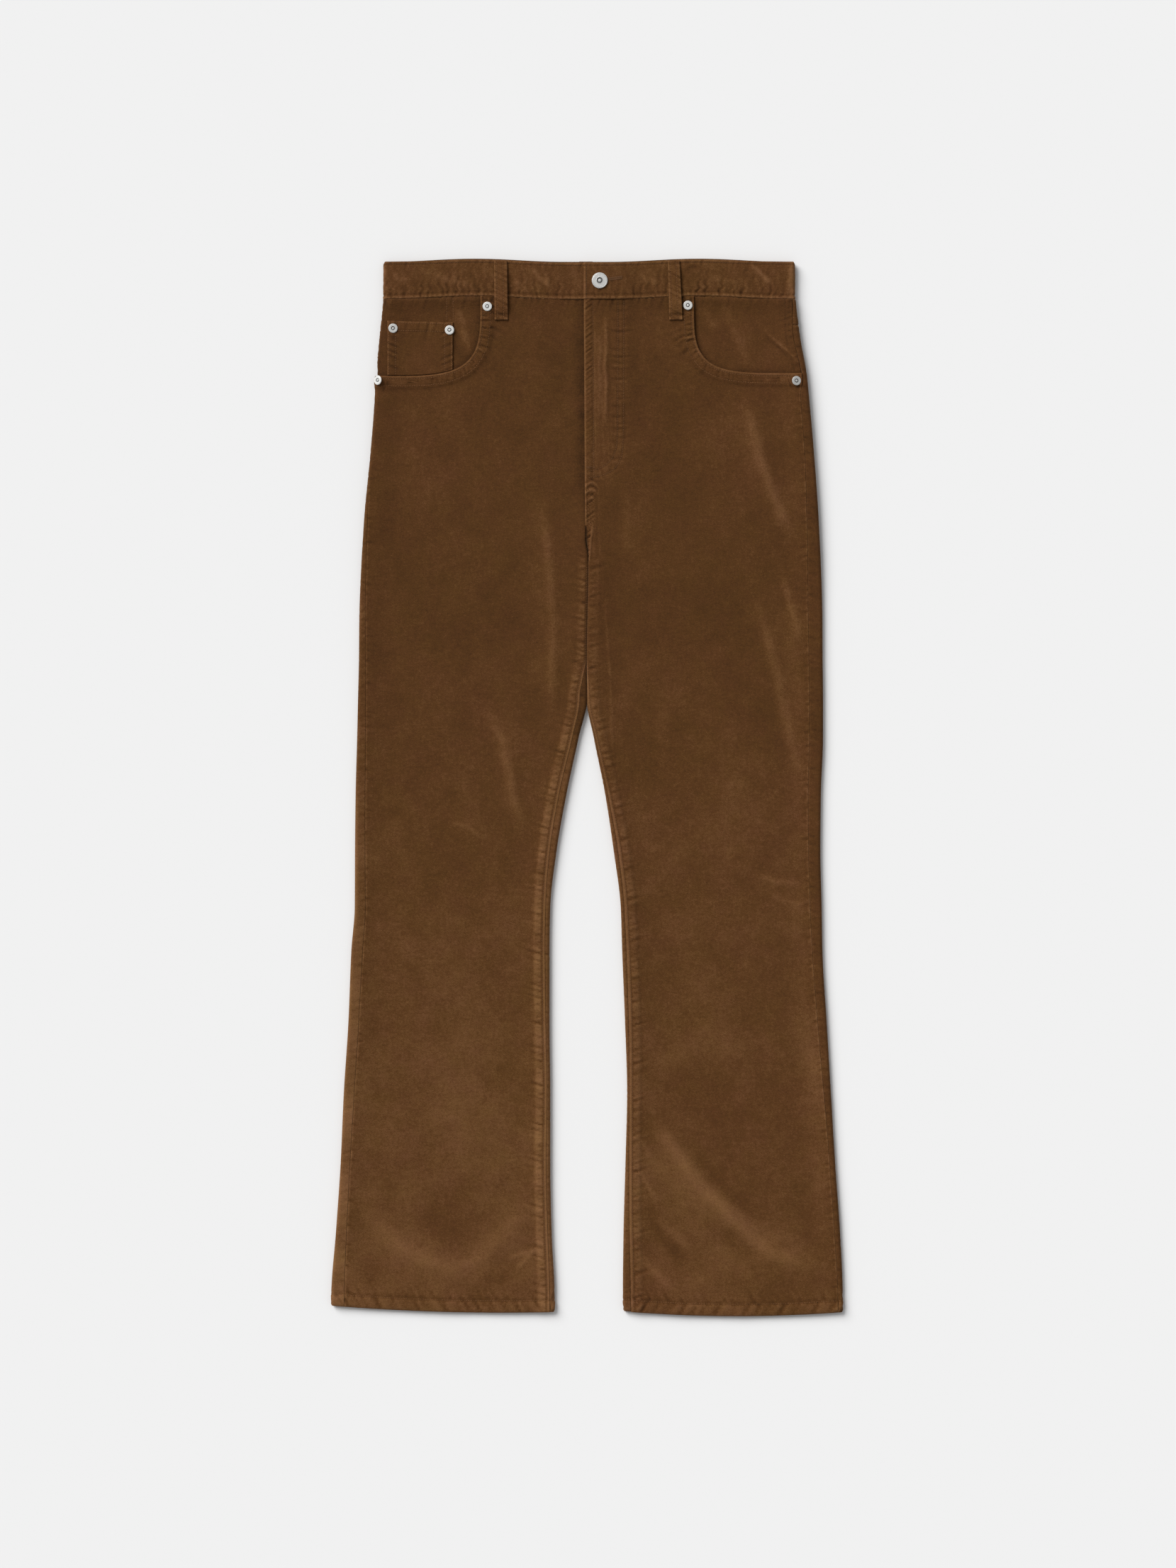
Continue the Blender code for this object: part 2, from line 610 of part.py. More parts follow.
def back_grid(side, outer_y, inner_y, follow_hem, count):
    """Places of a back piece's grid, from heights at its outseam and at its inner edge."""
    g = back_columns(side, inner_y, count)
    across = np.clip(-g / section(side, inner_y).girth[:, None], 0.0, 1.0)
    y = outer_y[:, None] + (inner_y - outer_y)[:, None] * across
    if follow_hem:
        y = bend_rows(side, g, np.minimum(y, WAIST_SEAM - BEND_LENGTH)) + np.maximum(
            y - WAIST_SEAM + BEND_LENGTH, 0.0)
    else:
        y[-1] = waist_line(skin(side, g[-1], y[-1])[:, 0]) - SEAM_GAP / 2
    for column in range(g.shape[1]):
        g[:, column] = back_columns(side, y[:, column], count)[:, column]
    return g, y


def back_panel(side):
    """A back leg panel, from hem to yoke seam, wrapped round both folds."""
    outer_y = np.concatenate((leg_rows(), hip_rows(side), side_rows(side)))
    climb = len(outer_y) - len(leg_rows())
    inner_y = np.concatenate((leg_rows(), np.linspace(LEG_TOP, YOKE_CENTRE, climb + 1)[1:]))
    outer_y[-1] -= SEAM_GAP / 2
    inner_y[-1] -= SEAM_GAP / 2
    g, y = back_grid(side, outer_y, inner_y, follow_hem=True, count=BACK_COLUMNS)
    in_hem = (np.arange(len(outer_y)) < LAST_HEM_ROW)[:, None]
    return cloth_wall("back_" + side.name, side, g, y, thickness=np.where(in_hem, HEM_CLOTH, CLOTH))


def yoke(side):
    """A back yoke, between the waistband and the back panel."""
    outer_y = yoke_rows()
    inner_y = np.linspace(YOKE_CENTRE, WAIST_SEAM, YOKE_ROWS)
    outer_y[0] += SEAM_GAP / 2
    inner_y[0] += SEAM_GAP / 2
    g, y = back_grid(side, outer_y, inner_y, follow_hem=False, count=YOKE_COLUMNS)
    return cloth_wall("yoke_" + side.name, side, g, y)


def facing_depth(side, g, y):
    """How deep a pocket facing lies: under the front, but level with the cloth at its own outseam."""
    cut = section(side, y)
    joined = 1.0 - ramp(g - along(cut.outseam, cut.outer_radius), 0.0, FACING_JOIN)
    return FACING_DEPTH * (1.0 - joined * ramp(y, side.scoop_y, side.scoop_y + 18.0))


def pocket_facing(side):
    """A hip pocket facing, which shows inside the scoop and runs on under the front."""
    level = np.concatenate((hip_rows(side)[-1:], side_rows(side), yoke_rows()[1:]))
    cut = section(side, level)
    start = along(cut.outseam, cut.outer_radius) + SEAM_GAP / 2
    stop = np.abs(side.scoop_x - cut.outer_fold) + FACING_REACH
    steps = (0.0, 1.7, 3.4, 5.1, 6.8, 8.5, 10.5, 14.0, 19.0, 26.0, 35.0)
    columns = [start + step for step in steps]
    columns += [start + steps[-1] + (stop - start - steps[-1]) * number / 6 for number in range(1, 7)]
    g = np.stack(columns, axis=-1)
    y = level[:, None] + np.zeros_like(g)
    y[-1] = waist_line(skin(side, g[-1], y[-1], folded=False)[:, 0]) - SEAM_GAP / 2
    g[-1] = g[-1] + outer_edge(side, y[-1]) - start[-1]
    depth = facing_depth(side, g, y)
    return cloth_wall("pocket_facing_" + side.name, side, g, y, thickness=FACING_CLOTH, depth=depth,
                      folded=False)


def coin_pocket():
    """The coin pocket on the right facing, from its straight top down to the scooped edge."""
    x = np.linspace(COIN_LEFT, COIN_RIGHT, 11)
    low = np.interp(x, *scoop_edge(RIGHT)) + COIN_GAP
    high = COIN_TOP_LEFT + (COIN_TOP_RIGHT - COIN_TOP_LEFT) * (x - x[0]) / (x[-1] - x[0])
    share = np.linspace(0.0, 1.0, 5)[:, None]
    y = low + (high - low) * share
    cut = section(RIGHT, y)
    g = along((x - cut.outer_fold) * RIGHT.inward, cut.outer_radius)
    depth = facing_depth(RIGHT, g, y) - LAYER_GAP - COIN_CLOTH
    return cloth_wall("coin_pocket", RIGHT, g, y, thickness=COIN_CLOTH, depth=depth, folded=False)


# ---------------------------------------------------------------- waistband, loops, zip and pockets

def band_front(x):
    """Height of the waistband's outer face over the front; the overlap lies on the underlap."""
    right = BAND_UNDERLAP + (BAND_FRONT - BAND_UNDERLAP) * ramp(-x, 14.0, 60.0)
    left = BAND_OVERLAP + (BAND_FRONT - BAND_OVERLAP) * ramp(x, 38.0, 62.0)
    return right, left


def band_line():
    """The waistband's outer face as a line of (x, z) points, from the underlap's end to the overlap's."""
    radius = (BAND_FRONT - BAND_BACK) / 2
    right = float(read(RIGHT_SECTIONS, SECTION_COLUMNS, "outer_fold", WAIST_SEAM)) + 0.6 + radius
    left = float(read(LEFT_SECTIONS, SECTION_COLUMNS, "outer_fold", WAIST_SEAM)) - 0.6 - radius
    under = np.concatenate((np.linspace(BAND_END + UNDERLAP, -14.0, 4), np.linspace(-30.0, right, 11)))
    over = np.concatenate((np.linspace(left, 80.0, 9), np.linspace(62.0, 38.0, 5),
                           np.linspace(20.0, BAND_END, 3)))
    line = [(x, float(band_front(x)[0])) for x in under]
    angles = np.linspace(math.pi / 2, -math.pi / 2, 9)[1:]
    middle = BAND_BACK + radius
    line += [(right - radius * math.cos(a), middle + radius * math.sin(a)) for a in angles]
    line += [(x, BAND_BACK) for x in np.linspace(right, left, 25)[1:]]
    line += [(left + radius * math.cos(a), middle + radius * math.sin(a)) for a in angles[::-1][1:]]
    line += [(x, float(band_front(x)[1])) for x in over]
    return np.array(line)


def waistband():
    """The waistband: one strip from the underlap, round the back, to the overlap with its buttonhole."""
    line = band_line()
    along_line = np.gradient(line, axis=0)
    normal = np.stack([along_line[:, 1], -along_line[:, 0]], axis=-1)
    normal /= np.linalg.norm(normal, axis=-1, keepdims=True)
    x, z = line[:, 0], line[:, 1]
    facing_up = ramp(z, BAND_BACK + 1.0, BAND_FRONT - 1.0)
    bulging = BAND_BULGE * ramp(z, BAND_UNDERLAP, BAND_FRONT)
    low = waist_line(x) + SEAM_GAP / 2
    high = waist_line(x) + BAND_WIDTH - FRONT_DIP * facing_up * ramp(210.0 - np.abs(x), 0.0, 60.0)
    outer, inner = [], []
    for share, bulge in ((0.0, 0.0), (0.3, 1.0), (0.7, 1.0), (1.0, 0.0)):
        for rows, shift in ((outer, bulge * bulging), (inner, -BAND_CLOTH)):
            rows.append(np.stack([x + normal[:, 0] * shift, low + (high - low) * share,
                                  z + normal[:, 1] * shift], axis=-1))
    band = wall("waistband", np.stack(outer), np.stack(inner))
    hole = buttonhole()
    cut = band.modifiers.new("buttonhole", "BOOLEAN")
    cut.operation = "DIFFERENCE"
    cut.solver = "EXACT"
    cut.object = hole
    return band


def buttonhole():
    """Cutter for the keyhole buttonhole: a round eyelet with a slit running out of it."""
    reach = math.asin(SLIT_WIDTH / 2 / EYELET_RADIUS)
    outline = [(EYELET_RADIUS * math.cos(a), EYELET_RADIUS * math.sin(a))
               for a in np.linspace(reach, math.tau - reach, 15)]
    outline += [(SLIT_LENGTH, -SLIT_WIDTH / 2), (SLIT_LENGTH, SLIT_WIDTH / 2)]
    turn = Matrix.Rotation(SLIT_ANGLE, 2)
    placed = [turn @ Vector(point) + Vector((BUTTON_X, BUTTON_Y)) for point in outline]
    low = (BAND_UNDERLAP + BAND_OVERLAP - BAND_CLOTH) / 2
    cutter = prism("buttonhole_cutter", placed, low, BAND_OVERLAP + 2.0)
    cutter.hide_render = True
    cutter.display_type = "WIRE"
    return cutter


def front_loop(name, x, lean):
    """A belt loop over the front of the waistband, sewn down at both ends."""
    side = RIGHT if x < 0 else LEFT
    y = np.concatenate((np.linspace(LOOP_LOW, 524.0, 5), np.linspace(532.0, LOOP_HIGH - 4.0, 5),
                        [LOOP_HIGH]))
    centre = x + lean * (0.5 - (y - LOOP_LOW) / (LOOP_HIGH - LOOP_LOW))
    across = np.linspace(-LOOP_WIDTH / 2, LOOP_WIDTH / 2, 3)
    place = centre[:, None] + across
    height = y[:, None] + np.zeros_like(place)
    cut = section(side, height)
    g = along((place - cut.outer_fold) * side.inward, cut.outer_radius)
    panel = front_height(side, place, height, cut) + front_thickening(side, g, height)
    band = np.where(place < 0, band_front(place)[0], band_front(place)[1])
    climb = ramp(y, LOOP_LOW + 2.0, 524.0)[:, None]
    standing = 0.9 * climb * (1.0 - ramp(y, LOOP_HIGH - 14.0, LOOP_HIGH - 2.0)[:, None])
    under = panel + (band - panel) * climb + 0.4 + standing
    crown = np.array([0.0, 0.25, 0.0])
    low = np.stack([place, height, under], axis=-1)
    high = np.stack([place, height, under + LOOP_CLOTH + crown], axis=-1)
    return wall(name, high, low)


def back_loop(name, x):
    """A belt loop on the back, lying under the waistband and the yoke."""
    corners = [(x - LOOP_WIDTH / 2, LOOP_LOW), (x + LOOP_WIDTH / 2, LOOP_LOW),
               (x + LOOP_WIDTH / 2, LOOP_HIGH), (x - LOOP_WIDTH / 2, LOOP_HIGH)]
    return prism(name, corners, 0.0, LOOP_CLOTH)


def belt_loops():
    """All five belt loops."""
    for row in LOOPS:
        loop = dict(zip(LOOP_COLUMNS, row))
        if loop["face"] == "front":
            front_loop(loop["name"], loop["x"], loop["lean"])
        else:
            back_loop(loop["name"], loop["x"])


def back_pocket(side):
    """A plain patch pocket on the seat, with its pointed lower edge."""
    centre = BACK_POCKET_X * (-1 if side is RIGHT else 1)
    low = BACK_POCKET_TOP - BACK_POCKET_SIDE
    outline = [(-BACK_POCKET_TOP_WIDTH / 2, BACK_POCKET_TOP), (-BACK_POCKET_LOW_WIDTH / 2, low),
               (0.0, BACK_POCKET_TOP - BACK_POCKET_HEIGHT), (BACK_POCKET_LOW_WIDTH / 2, low),
               (BACK_POCKET_TOP_WIDTH / 2, BACK_POCKET_TOP)]
    placed = [(centre + x, y) for x, y in outline]
    return prism("back_pocket_" + side.name, placed, 0.0, BACK_POCKET_CLOTH)


def zip_fastener():
    """The closed zip under the fly: a tape with its chain standing a little proud."""
    half, chain = ZIP_WIDTH / 2, ZIP_CHAIN_WIDTH / 2
    low = FLY_UNDER + LAYER_GAP
    profile = [(-half, low), (half, low), (half, low + ZIP_TAPE), (chain, low + ZIP_TAPE),
               (chain, low + ZIP_CHAIN), (-chain, low + ZIP_CHAIN), (-chain, low + ZIP_TAPE),
               (-half, low + ZIP_TAPE)]
    bm = bmesh.new()
    face = bm.faces.new([bm.verts.new((ZIP_X + x, ZIP_LOW, z)) for x, z in profile])
    raised = bmesh.ops.extrude_face_region(bm, geom=[face])["geom"]
    lifted = [item for item in raised if isinstance(item, bmesh.types.BMVert)]
    bmesh.ops.translate(bm, vec=(0, WAIST_SEAM - SEAM_GAP - ZIP_LOW, 0), verts=lifted)
    return finish("zip", bm, "zip_tape")


# ---------------------------------------------------------------- metal

def waist_button():
    """The shank button: a dished head on a shank that stands in the buttonhole's eyelet."""
    base = BAND_OVERLAP + 0.6
    foot = BAND_UNDERLAP + 0.6
    profile = [(0.0, foot), (SHANK_RADIUS, foot), (SHANK_RADIUS, base), (BUTTON_RADIUS - 0.8, base),
               (BUTTON_RADIUS, base + 0.8), (BUTTON_RADIUS - 0.5, base + 1.8), (BUTTON_RADIUS - 1.6, base + 2.2),
               (BUTTON_RADIUS - 2.9, base + 1.9), (BUTTON_RADIUS - 4.2, base + 1.1), (2.6, base + 1.1),
               (2.2, base + 1.9), (0.0, base + 2.2)]
    return lathe("waist_button", profile, Matrix.Translation((BUTTON_X, BUTTON_Y, 0.0)), segments=28)


def rivet(row):
    """A domed rivet, square to the cloth that it is fixed through."""
    side = RIGHT if row["side"] == "right" else LEFT
    y = np.array(row["y"])
    cut = section(side, y)
    g = along((row["x"] - cut.outer_fold) * side.inward, cut.outer_radius)
    folded = row["layer"] == "front"
    lift = POCKET_RISE if folded else COIN_CLOTH + LAYER_GAP - float(facing_depth(side, g, y))
    normal = outward(side, g, y, folded)
    point = skin(side, g, y, folded) + normal * (lift + 0.45)
    turn = Vector(normal).to_track_quat("Z", "Y").to_matrix().to_4x4()
    profile = [(0.0, 0.0), (RIVET_RADIUS - 0.4, 0.0), (RIVET_RADIUS, 0.35), (RIVET_RADIUS - 0.5, 1.0),
               (RIVET_RADIUS - 1.6, 1.3), (2.0, 0.8), (1.2, 1.5), (0.0, 1.7)]
    return lathe(row["name"], profile, Matrix.Translation(point) @ turn, segments=16)


def main():
    """Builds every piece of the jeans."""
    clear_scene()
    for side in (RIGHT, LEFT):
        front_panel(side)
        back_panel(side)
        yoke(side)
        pocket_facing(side)
        back_pocket(side)
    coin_pocket()
    waistband()
    belt_loops()
    zip_fastener()
    waist_button()
    for row in RIVETS:
        rivet(dict(zip(RIVET_COLUMNS, row)))


main()
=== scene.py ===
"""Velvet bootcut jeans, laid flat: the finished cloth, sewing and metal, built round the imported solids.

Lengths in the tables and in the shape functions are millimetres, and MM turns them into metres where a
mesh is made. X runs across the garment with the wearer's right at -X, Y runs up it from hem to waist, and
Z stands on the floor. Each side of the jeans is a flattened tube: g is the distance round its section
from the outer fold, above zero over the front and below zero under the back, and y is the height.
"""

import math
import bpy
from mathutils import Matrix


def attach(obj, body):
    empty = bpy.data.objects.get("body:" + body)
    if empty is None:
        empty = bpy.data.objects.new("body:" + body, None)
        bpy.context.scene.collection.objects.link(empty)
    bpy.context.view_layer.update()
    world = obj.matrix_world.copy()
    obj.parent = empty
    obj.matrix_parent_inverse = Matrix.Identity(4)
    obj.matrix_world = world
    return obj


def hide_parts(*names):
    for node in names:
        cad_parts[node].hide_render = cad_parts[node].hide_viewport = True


bl_info = {
    "name": "Velvet bootcut jeans",
    "version": (1, 0, 0),
    "blender": (4, 5, 0),
    "location": "3D View > Sidebar > Jeans",
    "description": "Builds the cloth, sewing and metal of velvet bootcut jeans laid flat",
    "category": "Object",
}

from collections import namedtuple
from types import SimpleNamespace

import bmesh
import bpy
import numpy as np
from bpy.props import FloatProperty, FloatVectorProperty, PointerProperty
from bpy.types import Operator, Panel, PropertyGroup
from mathutils import Matrix, Vector

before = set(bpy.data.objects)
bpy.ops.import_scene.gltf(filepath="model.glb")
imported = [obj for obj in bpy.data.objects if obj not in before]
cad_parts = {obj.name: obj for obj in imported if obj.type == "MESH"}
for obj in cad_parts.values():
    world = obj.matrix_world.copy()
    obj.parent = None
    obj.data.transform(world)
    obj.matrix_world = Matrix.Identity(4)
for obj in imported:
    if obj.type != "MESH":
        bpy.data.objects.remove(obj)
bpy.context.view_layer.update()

MM = 0.001

# ---- sizes shared with the solids

SEAM_GAP = 0.04
CENTRE_LAP = 0.3
WAIST_SEAM = 528.0
WAIST_RISE = 3.4
WAIST_LEVEL = 24.0
WAIST_FOLD = 218.0
BAND_WIDTH = 40.8
FRONT_DIP = 1.2
HEM_LINE = -567.6
HEM_DEPTH = 13.0
BEND_LENGTH = 120.0
TURN_START = 289.0
TURN_END = 246.0
FULL_TURN = math.radians(89.9)
FLY_UNDER = 5.4
FLY_TOP = 8.4
UNDERLAP = 36.0
UNDERLAP_START = 360.0
UNDERLAP_END = 325.0
POCKET_HEM = 11.0
POCKET_RISE = 1.0
FACING_DEPTH = 2.0
FACING_REACH = 22.0
FACING_JOIN = 12.0
COIN_CLOTH = 1.1
FACING_CLOTH = 1.2
ROLL_WIDTH = 20.0
ALLOWANCE_WIDTH = 12.0
ALLOWANCE_RISE = 0.7
YOKE_SIDE = 500.0
YOKE_CENTRE = 464.0
LEG_TOP = 360.0

# Width in metres of the zip tape.
TAPE_WIDTH = 0.024

# Heights with the places of the folds in X and how far inside them the seams lie: the right side's four
# values, and then the left side's.
SECTION_COLUMNS = ("y", "outer_fold", "outseam", "inner_fold", "inseam")
SECTIONS = (
    (540, -220.5, -2.0, -3.1, 0.0, 225.3, 4.0, -3.1, 0.0),
    (528, -221.0, -2.0, -3.1, 0.0, 226.0, 4.1, -3.1, 0.0),
    (485, -225.0, -2.0, -2.8, 0.0, 231.2, 7.4, -2.8, 0.0),
    (446, -228.6, -2.0, -2.6, 0.0, 238.1, 5.4, -2.6, 0.0),
    (423, -229.6, -2.0, -2.5, 0.0, 240.4, 9.1, -2.5, 0.0),
    (362, -234.2, -1.5, -2.2, 0.0, 245.8, 10.0, -2.2, 0.0),
    (297, -240.6, 4.0, -1.8, 0.0, 250.5, 12.6, -1.8, 0.0),
    (270, -242.4, 4.9, -1.4, 0.0, 251.9, 13.1, -1.4, 0.0),
    (246, -243.9, 5.6, 1.4, 0.0, 253.1, 14.0, 1.4, 0.0),
    (185, -246.4, 6.9, 0.4, 0.0, 255.0, 15.4, 0.4, 0.0),
    (140, -246.8, 7.6, -0.3, 0.0, 255.2, 14.7, -0.3, 0.0),
    (120, -247.2, 8.1, 0.0, 3.8, 255.5, 14.7, 0.0, 0.4),
    (97, -247.8, 8.7, 0.0, 7.6, 255.7, 14.7, 0.0, 1.1),
    (54, -248.8, 9.6, -9.2, 6.4, 255.7, 14.7, 7.7, 1.8),
    (-7, -250.4, 10.7, -22.3, 7.6, 253.4, 13.8, 20.0, 2.7),
    (-68, -251.1, 11.4, -33.0, 7.0, 252.8, 12.8, 29.2, 4.6),
    (-130, -251.4, 12.0, -39.9, 4.7, 254.2, 12.4, 36.9, 3.7),
    (-176, -255.0, 12.8, -40.7, 4.6, 255.0, 10.8, 38.4, 4.6),
    (-253, -258.2, 11.7, -40.7, 3.8, 259.6, 9.8, 41.5, 4.0),
    (-330, -263.2, 11.8, -39.9, 3.2, 264.2, 7.7, 43.8, 2.3),
    (-406, -266.6, 10.6, -39.9, 4.1, 268.8, 6.0, 42.0, 3.9),
    (-483, -271.9, 12.1, -38.4, 3.9, 274.2, 6.0, 39.9, 6.4),
    (-545, -276.7, 14.6, -35.3, 4.9, 277.0, 5.4, 39.2, 8.3),
    (-580, -277.3, 14.8, -35.1, 4.9, 277.3, 5.4, 40.4, 8.3),
)
# Heights with the levels of the cloth: under the jeans, and on top at the folds and between them.
LEVEL_COLUMNS = ("y", "underside", "outer_edge", "middle", "inner_edge")
LEVELS = (
    (540, 2.1, 9.9, 7.2, 7.2),
    (430, 2.1, 9.9, 7.2, 7.2),
    (330, 2.1, 9.2, 7.0, 7.2),
    (262, 2.1, 8.6, 6.0, 8.2),
    (190, 0.0, 7.0, 4.6, 7.4),
    (80, 0.0, 6.8, 4.0, 6.8),
    (-160, 0.0, 6.6, 4.0, 6.6),
    (-500, 0.0, 6.6, 4.2, 6.6),
    (-540, 0.0, 6.6, 5.9, 6.6),
    (-580, 0.0, 6.5, 5.9, 6.5),
)

# Folds of the cloth, each with its run in X and Y, its height, its width and the painted light it lays along
# itself, a painted highlight above zero and painted shade below. First the largest ones, which the solids
# have too.
RIGHT_FOLDS = (
    (((-43, 320), (-36, 150), (-40, 30)), 1.1, 11, 0.0),
    (((-84, 80), (-80, -10), (-62, -55)), 0.8, 11, 0.0),
    (((-254, -430), (-196, -500), (-118, -528)), 1.3, 15, 0.0),
    (((-50, -430), (-82, -490), (-128, -520)), 0.9, 13, 0.0),
)
LEFT_FOLDS = (
    (((172, 428), (194, 320), (216, 235)), 1.3, 12, 0.0),
    (((216, 235), (232, 120), (240, 10)), 1.0, 11, 0.0),
    (((50, 240), (56, 120), (48, 40)), 0.6, 14, 0.0),
    (((62, -352), (122, -440), (182, -494)), 1.9, 14, 0.0),
    (((182, -494), (225, -512), (268, -522)), 1.3, 14, 0.0),
    (((56, -420), (104, -478), (150, -520)), 0.8, 13, 0.0),
)

# Finer creases of the front, with painted highlights along raised ones and painted shade along sunk ones.
RIGHT_CREASES = (
    (((-248, -428), (-237, -456), (-220, -481), (-197, -500), (-170, -515), (-138, -521), (-112, -508),
        (-94, -486), (-73, -458), (-60, -434)), 0.5, 8.5, 0.27),
    (((-221, -472), (-194, -500), (-166, -515)), 0.3, 14, 0.08),
    (((-54, 337), (-45, 285), (-38, 214), (-36, 177), (-37, 137), (-38, 94), (-41, 50)), 0.5, 4.6, 0.35),
    (((-61, 362), (-55, 285), (-48, 193), (-44, 139)), 0.2, 14, 0.16),
    (((-111, 93), (-92, 51), (-84, 17), (-79, -17), (-65, -53)), 0.5, 4.8, 0.38),
    (((-149, -38), (-129, -42), (-111, -58)), 0.35, 2.6, 0.3),
    (((-89, -511), (-71, -505), (-57, -502)), 0.35, 2.4, 0.3),
    (((-78, -523), (-64, -509), (-51, -494)), 0.4, 2.6, 0.35),
    (((-253, -514), (-240, -521), (-221, -529)), -0.2, 11, -0.19),
    (((-120, -532), (-98, -534), (-75, -529)), -0.2, 8, -0.19),
    (((-187, -464), (-160, -474), (-133, -469)), -0.25, 14, -0.19),
    (((-227, -391), (-212, -418), (-215, -445)), -0.1, 13, -0.1),
    (((-123, -299), (-144, -345), (-172, -383)), 0.1, 22, 0.11),
    (((-106, -218), (-123, -237), (-106, -253)), 0.2, 16, 0.08),
    (((-206, 392), (-183, 323), (-194, 254)), 0.2, 22, 0.08),
)
LEFT_CREASES = (
    (((58, -336), (71, -356), (84, -376), (98, -396), (114, -418), (134, -442), (155, -465), (180, -490),
        (204, -505), (232, -516), (267, -521)), 0.7, 7.0, 0.42),
    (((128, -436), (160, -458), (196, -480), (240, -496)), 0.4, 9, 0.24),
    (((96, -440), (126, -470), (160, -494), (190, -504)), -0.3, 7, -0.2),
    (((61, -368), (84, -414), (111, -452), (140, -485), (172, -511), (217, -527)), 0.5, 14, 0.22),
    (((84, -356), (106, -382), (129, -408), (152, -434), (177, -460), (209, -483)), -0.3, 8, -0.18),
    (((58, -437), (74, -472), (94, -502), (117, -525)), -0.6, 7, -0.35),
    (((53, -457), (80, -471), (103, -492), (120, -512)), 0.4, 4.6, 0.27),
    (((50, -498), (71, -521), (95, -548)), 0.4, 4.6, 0.3),
    (((50, -403), (63, -424), (77, -451)), 0.35, 2.2, 0.24),
    (((52, -374), (65, -392), (75, -412)), 0.3, 2.4, 0.19),
    (((169, 435), (178, 392), (189, 354), (202, 316), (216, 280), (224, 247)), 0.6, 5.8, 0.49),
    (((160, 423), (172, 362), (186, 316)), 0.2, 13, 0.14),
    (((209, 247), (217, 210), (226, 179), (233, 151)), 0.4, 3.8, 0.35),
    (((178, 217), (194, 170), (207, 119), (215, 77), (224, 34), (238, -1)), 0.45, 5, 0.35),
    (((43, 331), (44, 289), (42, 239)), 0.2, 4.4, 0.19),
    (((18, 227), (22, 170), (26, 115), (28, 24)), 0.3, 1.6, 0.22),
    (((88, 108), (79, 55), (89, 1)), 0.25, 6.5, 0.16),
    (((55, 362), (61, 270), (55, 177)), 0.2, 12, 0.1),
    (((178, -92), (204, -102), (233, -106)), 0.45, 3.4, 0.32),
    (((194, -110), (215, -124), (240, -128)), 0.35, 3.4, 0.24),
    (((155, 78), (144, 24), (155, -30)), 0.2, 22, 0.08),
    (((244, -260), (252, -329), (261, -391)), 0.2, 8, 0.24),
    (((50, -306), (62, -330), (80, -358)), 0.3, 9, 0.22),
    (((98, -284), (132, -334), (176, -390)), -0.1, 27, -0.2),
    (((170, -482), (212, -503), (254, -510)), 0.1, 17, 0.16),
)

# Soft troughs of the back, which press up from the floor, with painted shade along them.
RIGHT_TROUGHS = (
    (((-190, 330), (-120, 296), (-40, 286)), -0.7, 9, -0.3),
    (((-206, 286), (-140, 262), (-70, 262)), -0.6, 8, -0.25),
    (((-226, -20), (-160, -64), (-70, -70)), -0.8, 9, -0.3),
    (((-206, -96), (-150, -118), (-90, -112)), -0.6, 8, -0.25),
    (((-226, -430), (-170, -486), (-90, -506)), -0.7, 12, -0.3),
)
LEFT_TROUGHS = (
    (((196, 326), (126, 300), (44, 288)), -0.7, 9, -0.3),
    (((214, 290), (150, 258), (80, 256)), -0.6, 9, -0.25),
    (((230, -30), (168, -58), (82, -82)), -0.8, 9, -0.3),
    (((210, -92), (158, -122), (100, -120)), -0.6, 8, -0.25),
    (((232, -436), (176, -480), (92, -512)), -0.7, 12, -0.3),
)

# Waistband levels of the outer face
BAND_UNDERLAP = 7.6
BAND_OVERLAP = 10.5
BAND_FRONT = 8.4
BAND_BACK = 2.1
BAND_END = -3.5
BAND_CLOTH = 2.6

# Creases of the waistband's front face, with painted highlights and painted shade along them.
BAND_CREASES = (
    (((174, 567), (185, 559), (196, 548), (205, 541)), 0.5, 2.0, 0.5),
    (((106, 556), (112, 563), (124, 562)), -0.5, 1.8, -0.4),
    (((-190, 562), (-160, 552), (-136, 545), (-112, 545)), 0.3, 3.0, 0.24),
    (((-196, 549), (-176, 541), (-150, 539)), -0.2, 3.0, -0.16),
    (((-66, 566), (-54, 554), (-44, 545), (-32, 540)), 0.4, 2.6, 0.34),
    (((-80, 550), (-70, 541), (-64, 533)), 0.4, 2.2, 0.30),
    (((52, 558), (64, 549), (80, 546)), 0.3, 2.6, 0.24),
    (((130, 554), (150, 547), (174, 546)), 0.3, 3.0, 0.22),
    (((-214, 558), (-204, 550), (-186, 547)), 0.3, 2.6, 0.26),
)

# Where the waistband's lower seam draws it into stronger puckers: place, width and strength.
BAND_DRAWN = ((-142, 34, 0.8), (-36, 20, 0.5), (74, 18, 0.9), (132, 34, 0.9), (196, 14, 0.3))

# Creases of the pocket facings, with painted highlights and painted shade along them.
RIGHT_FACING_CREASES = (
    (((-143, 528), (-135, 506), (-130, 478)), 0.4, 4.5, 0.26),
    (((-137, 498), (-128, 480), (-124, 466)), 0.4, 3.0, 0.24),
    (((-150, 500), (-140, 474), (-142, 462)), -0.3, 4.0, -0.20),
)
LEFT_FACING_CREASES = (
    (((146, 530), (157, 502), (168, 474), (178, 448)), 0.5, 5.0, 0.24),
    (((166, 520), (172, 492), (186, 462)), 0.3, 6.0, 0.16),
    (((188, 499), (204, 483), (218, 471), (234, 453)), 0.8, 1.3, 0.42),
    (((192, 491), (208, 475), (222, 463)), -0.4, 2.0, -0.34),
    (((124, 522), (133, 507), (141, 490)), 0.3, 4.0, 0.24),
)

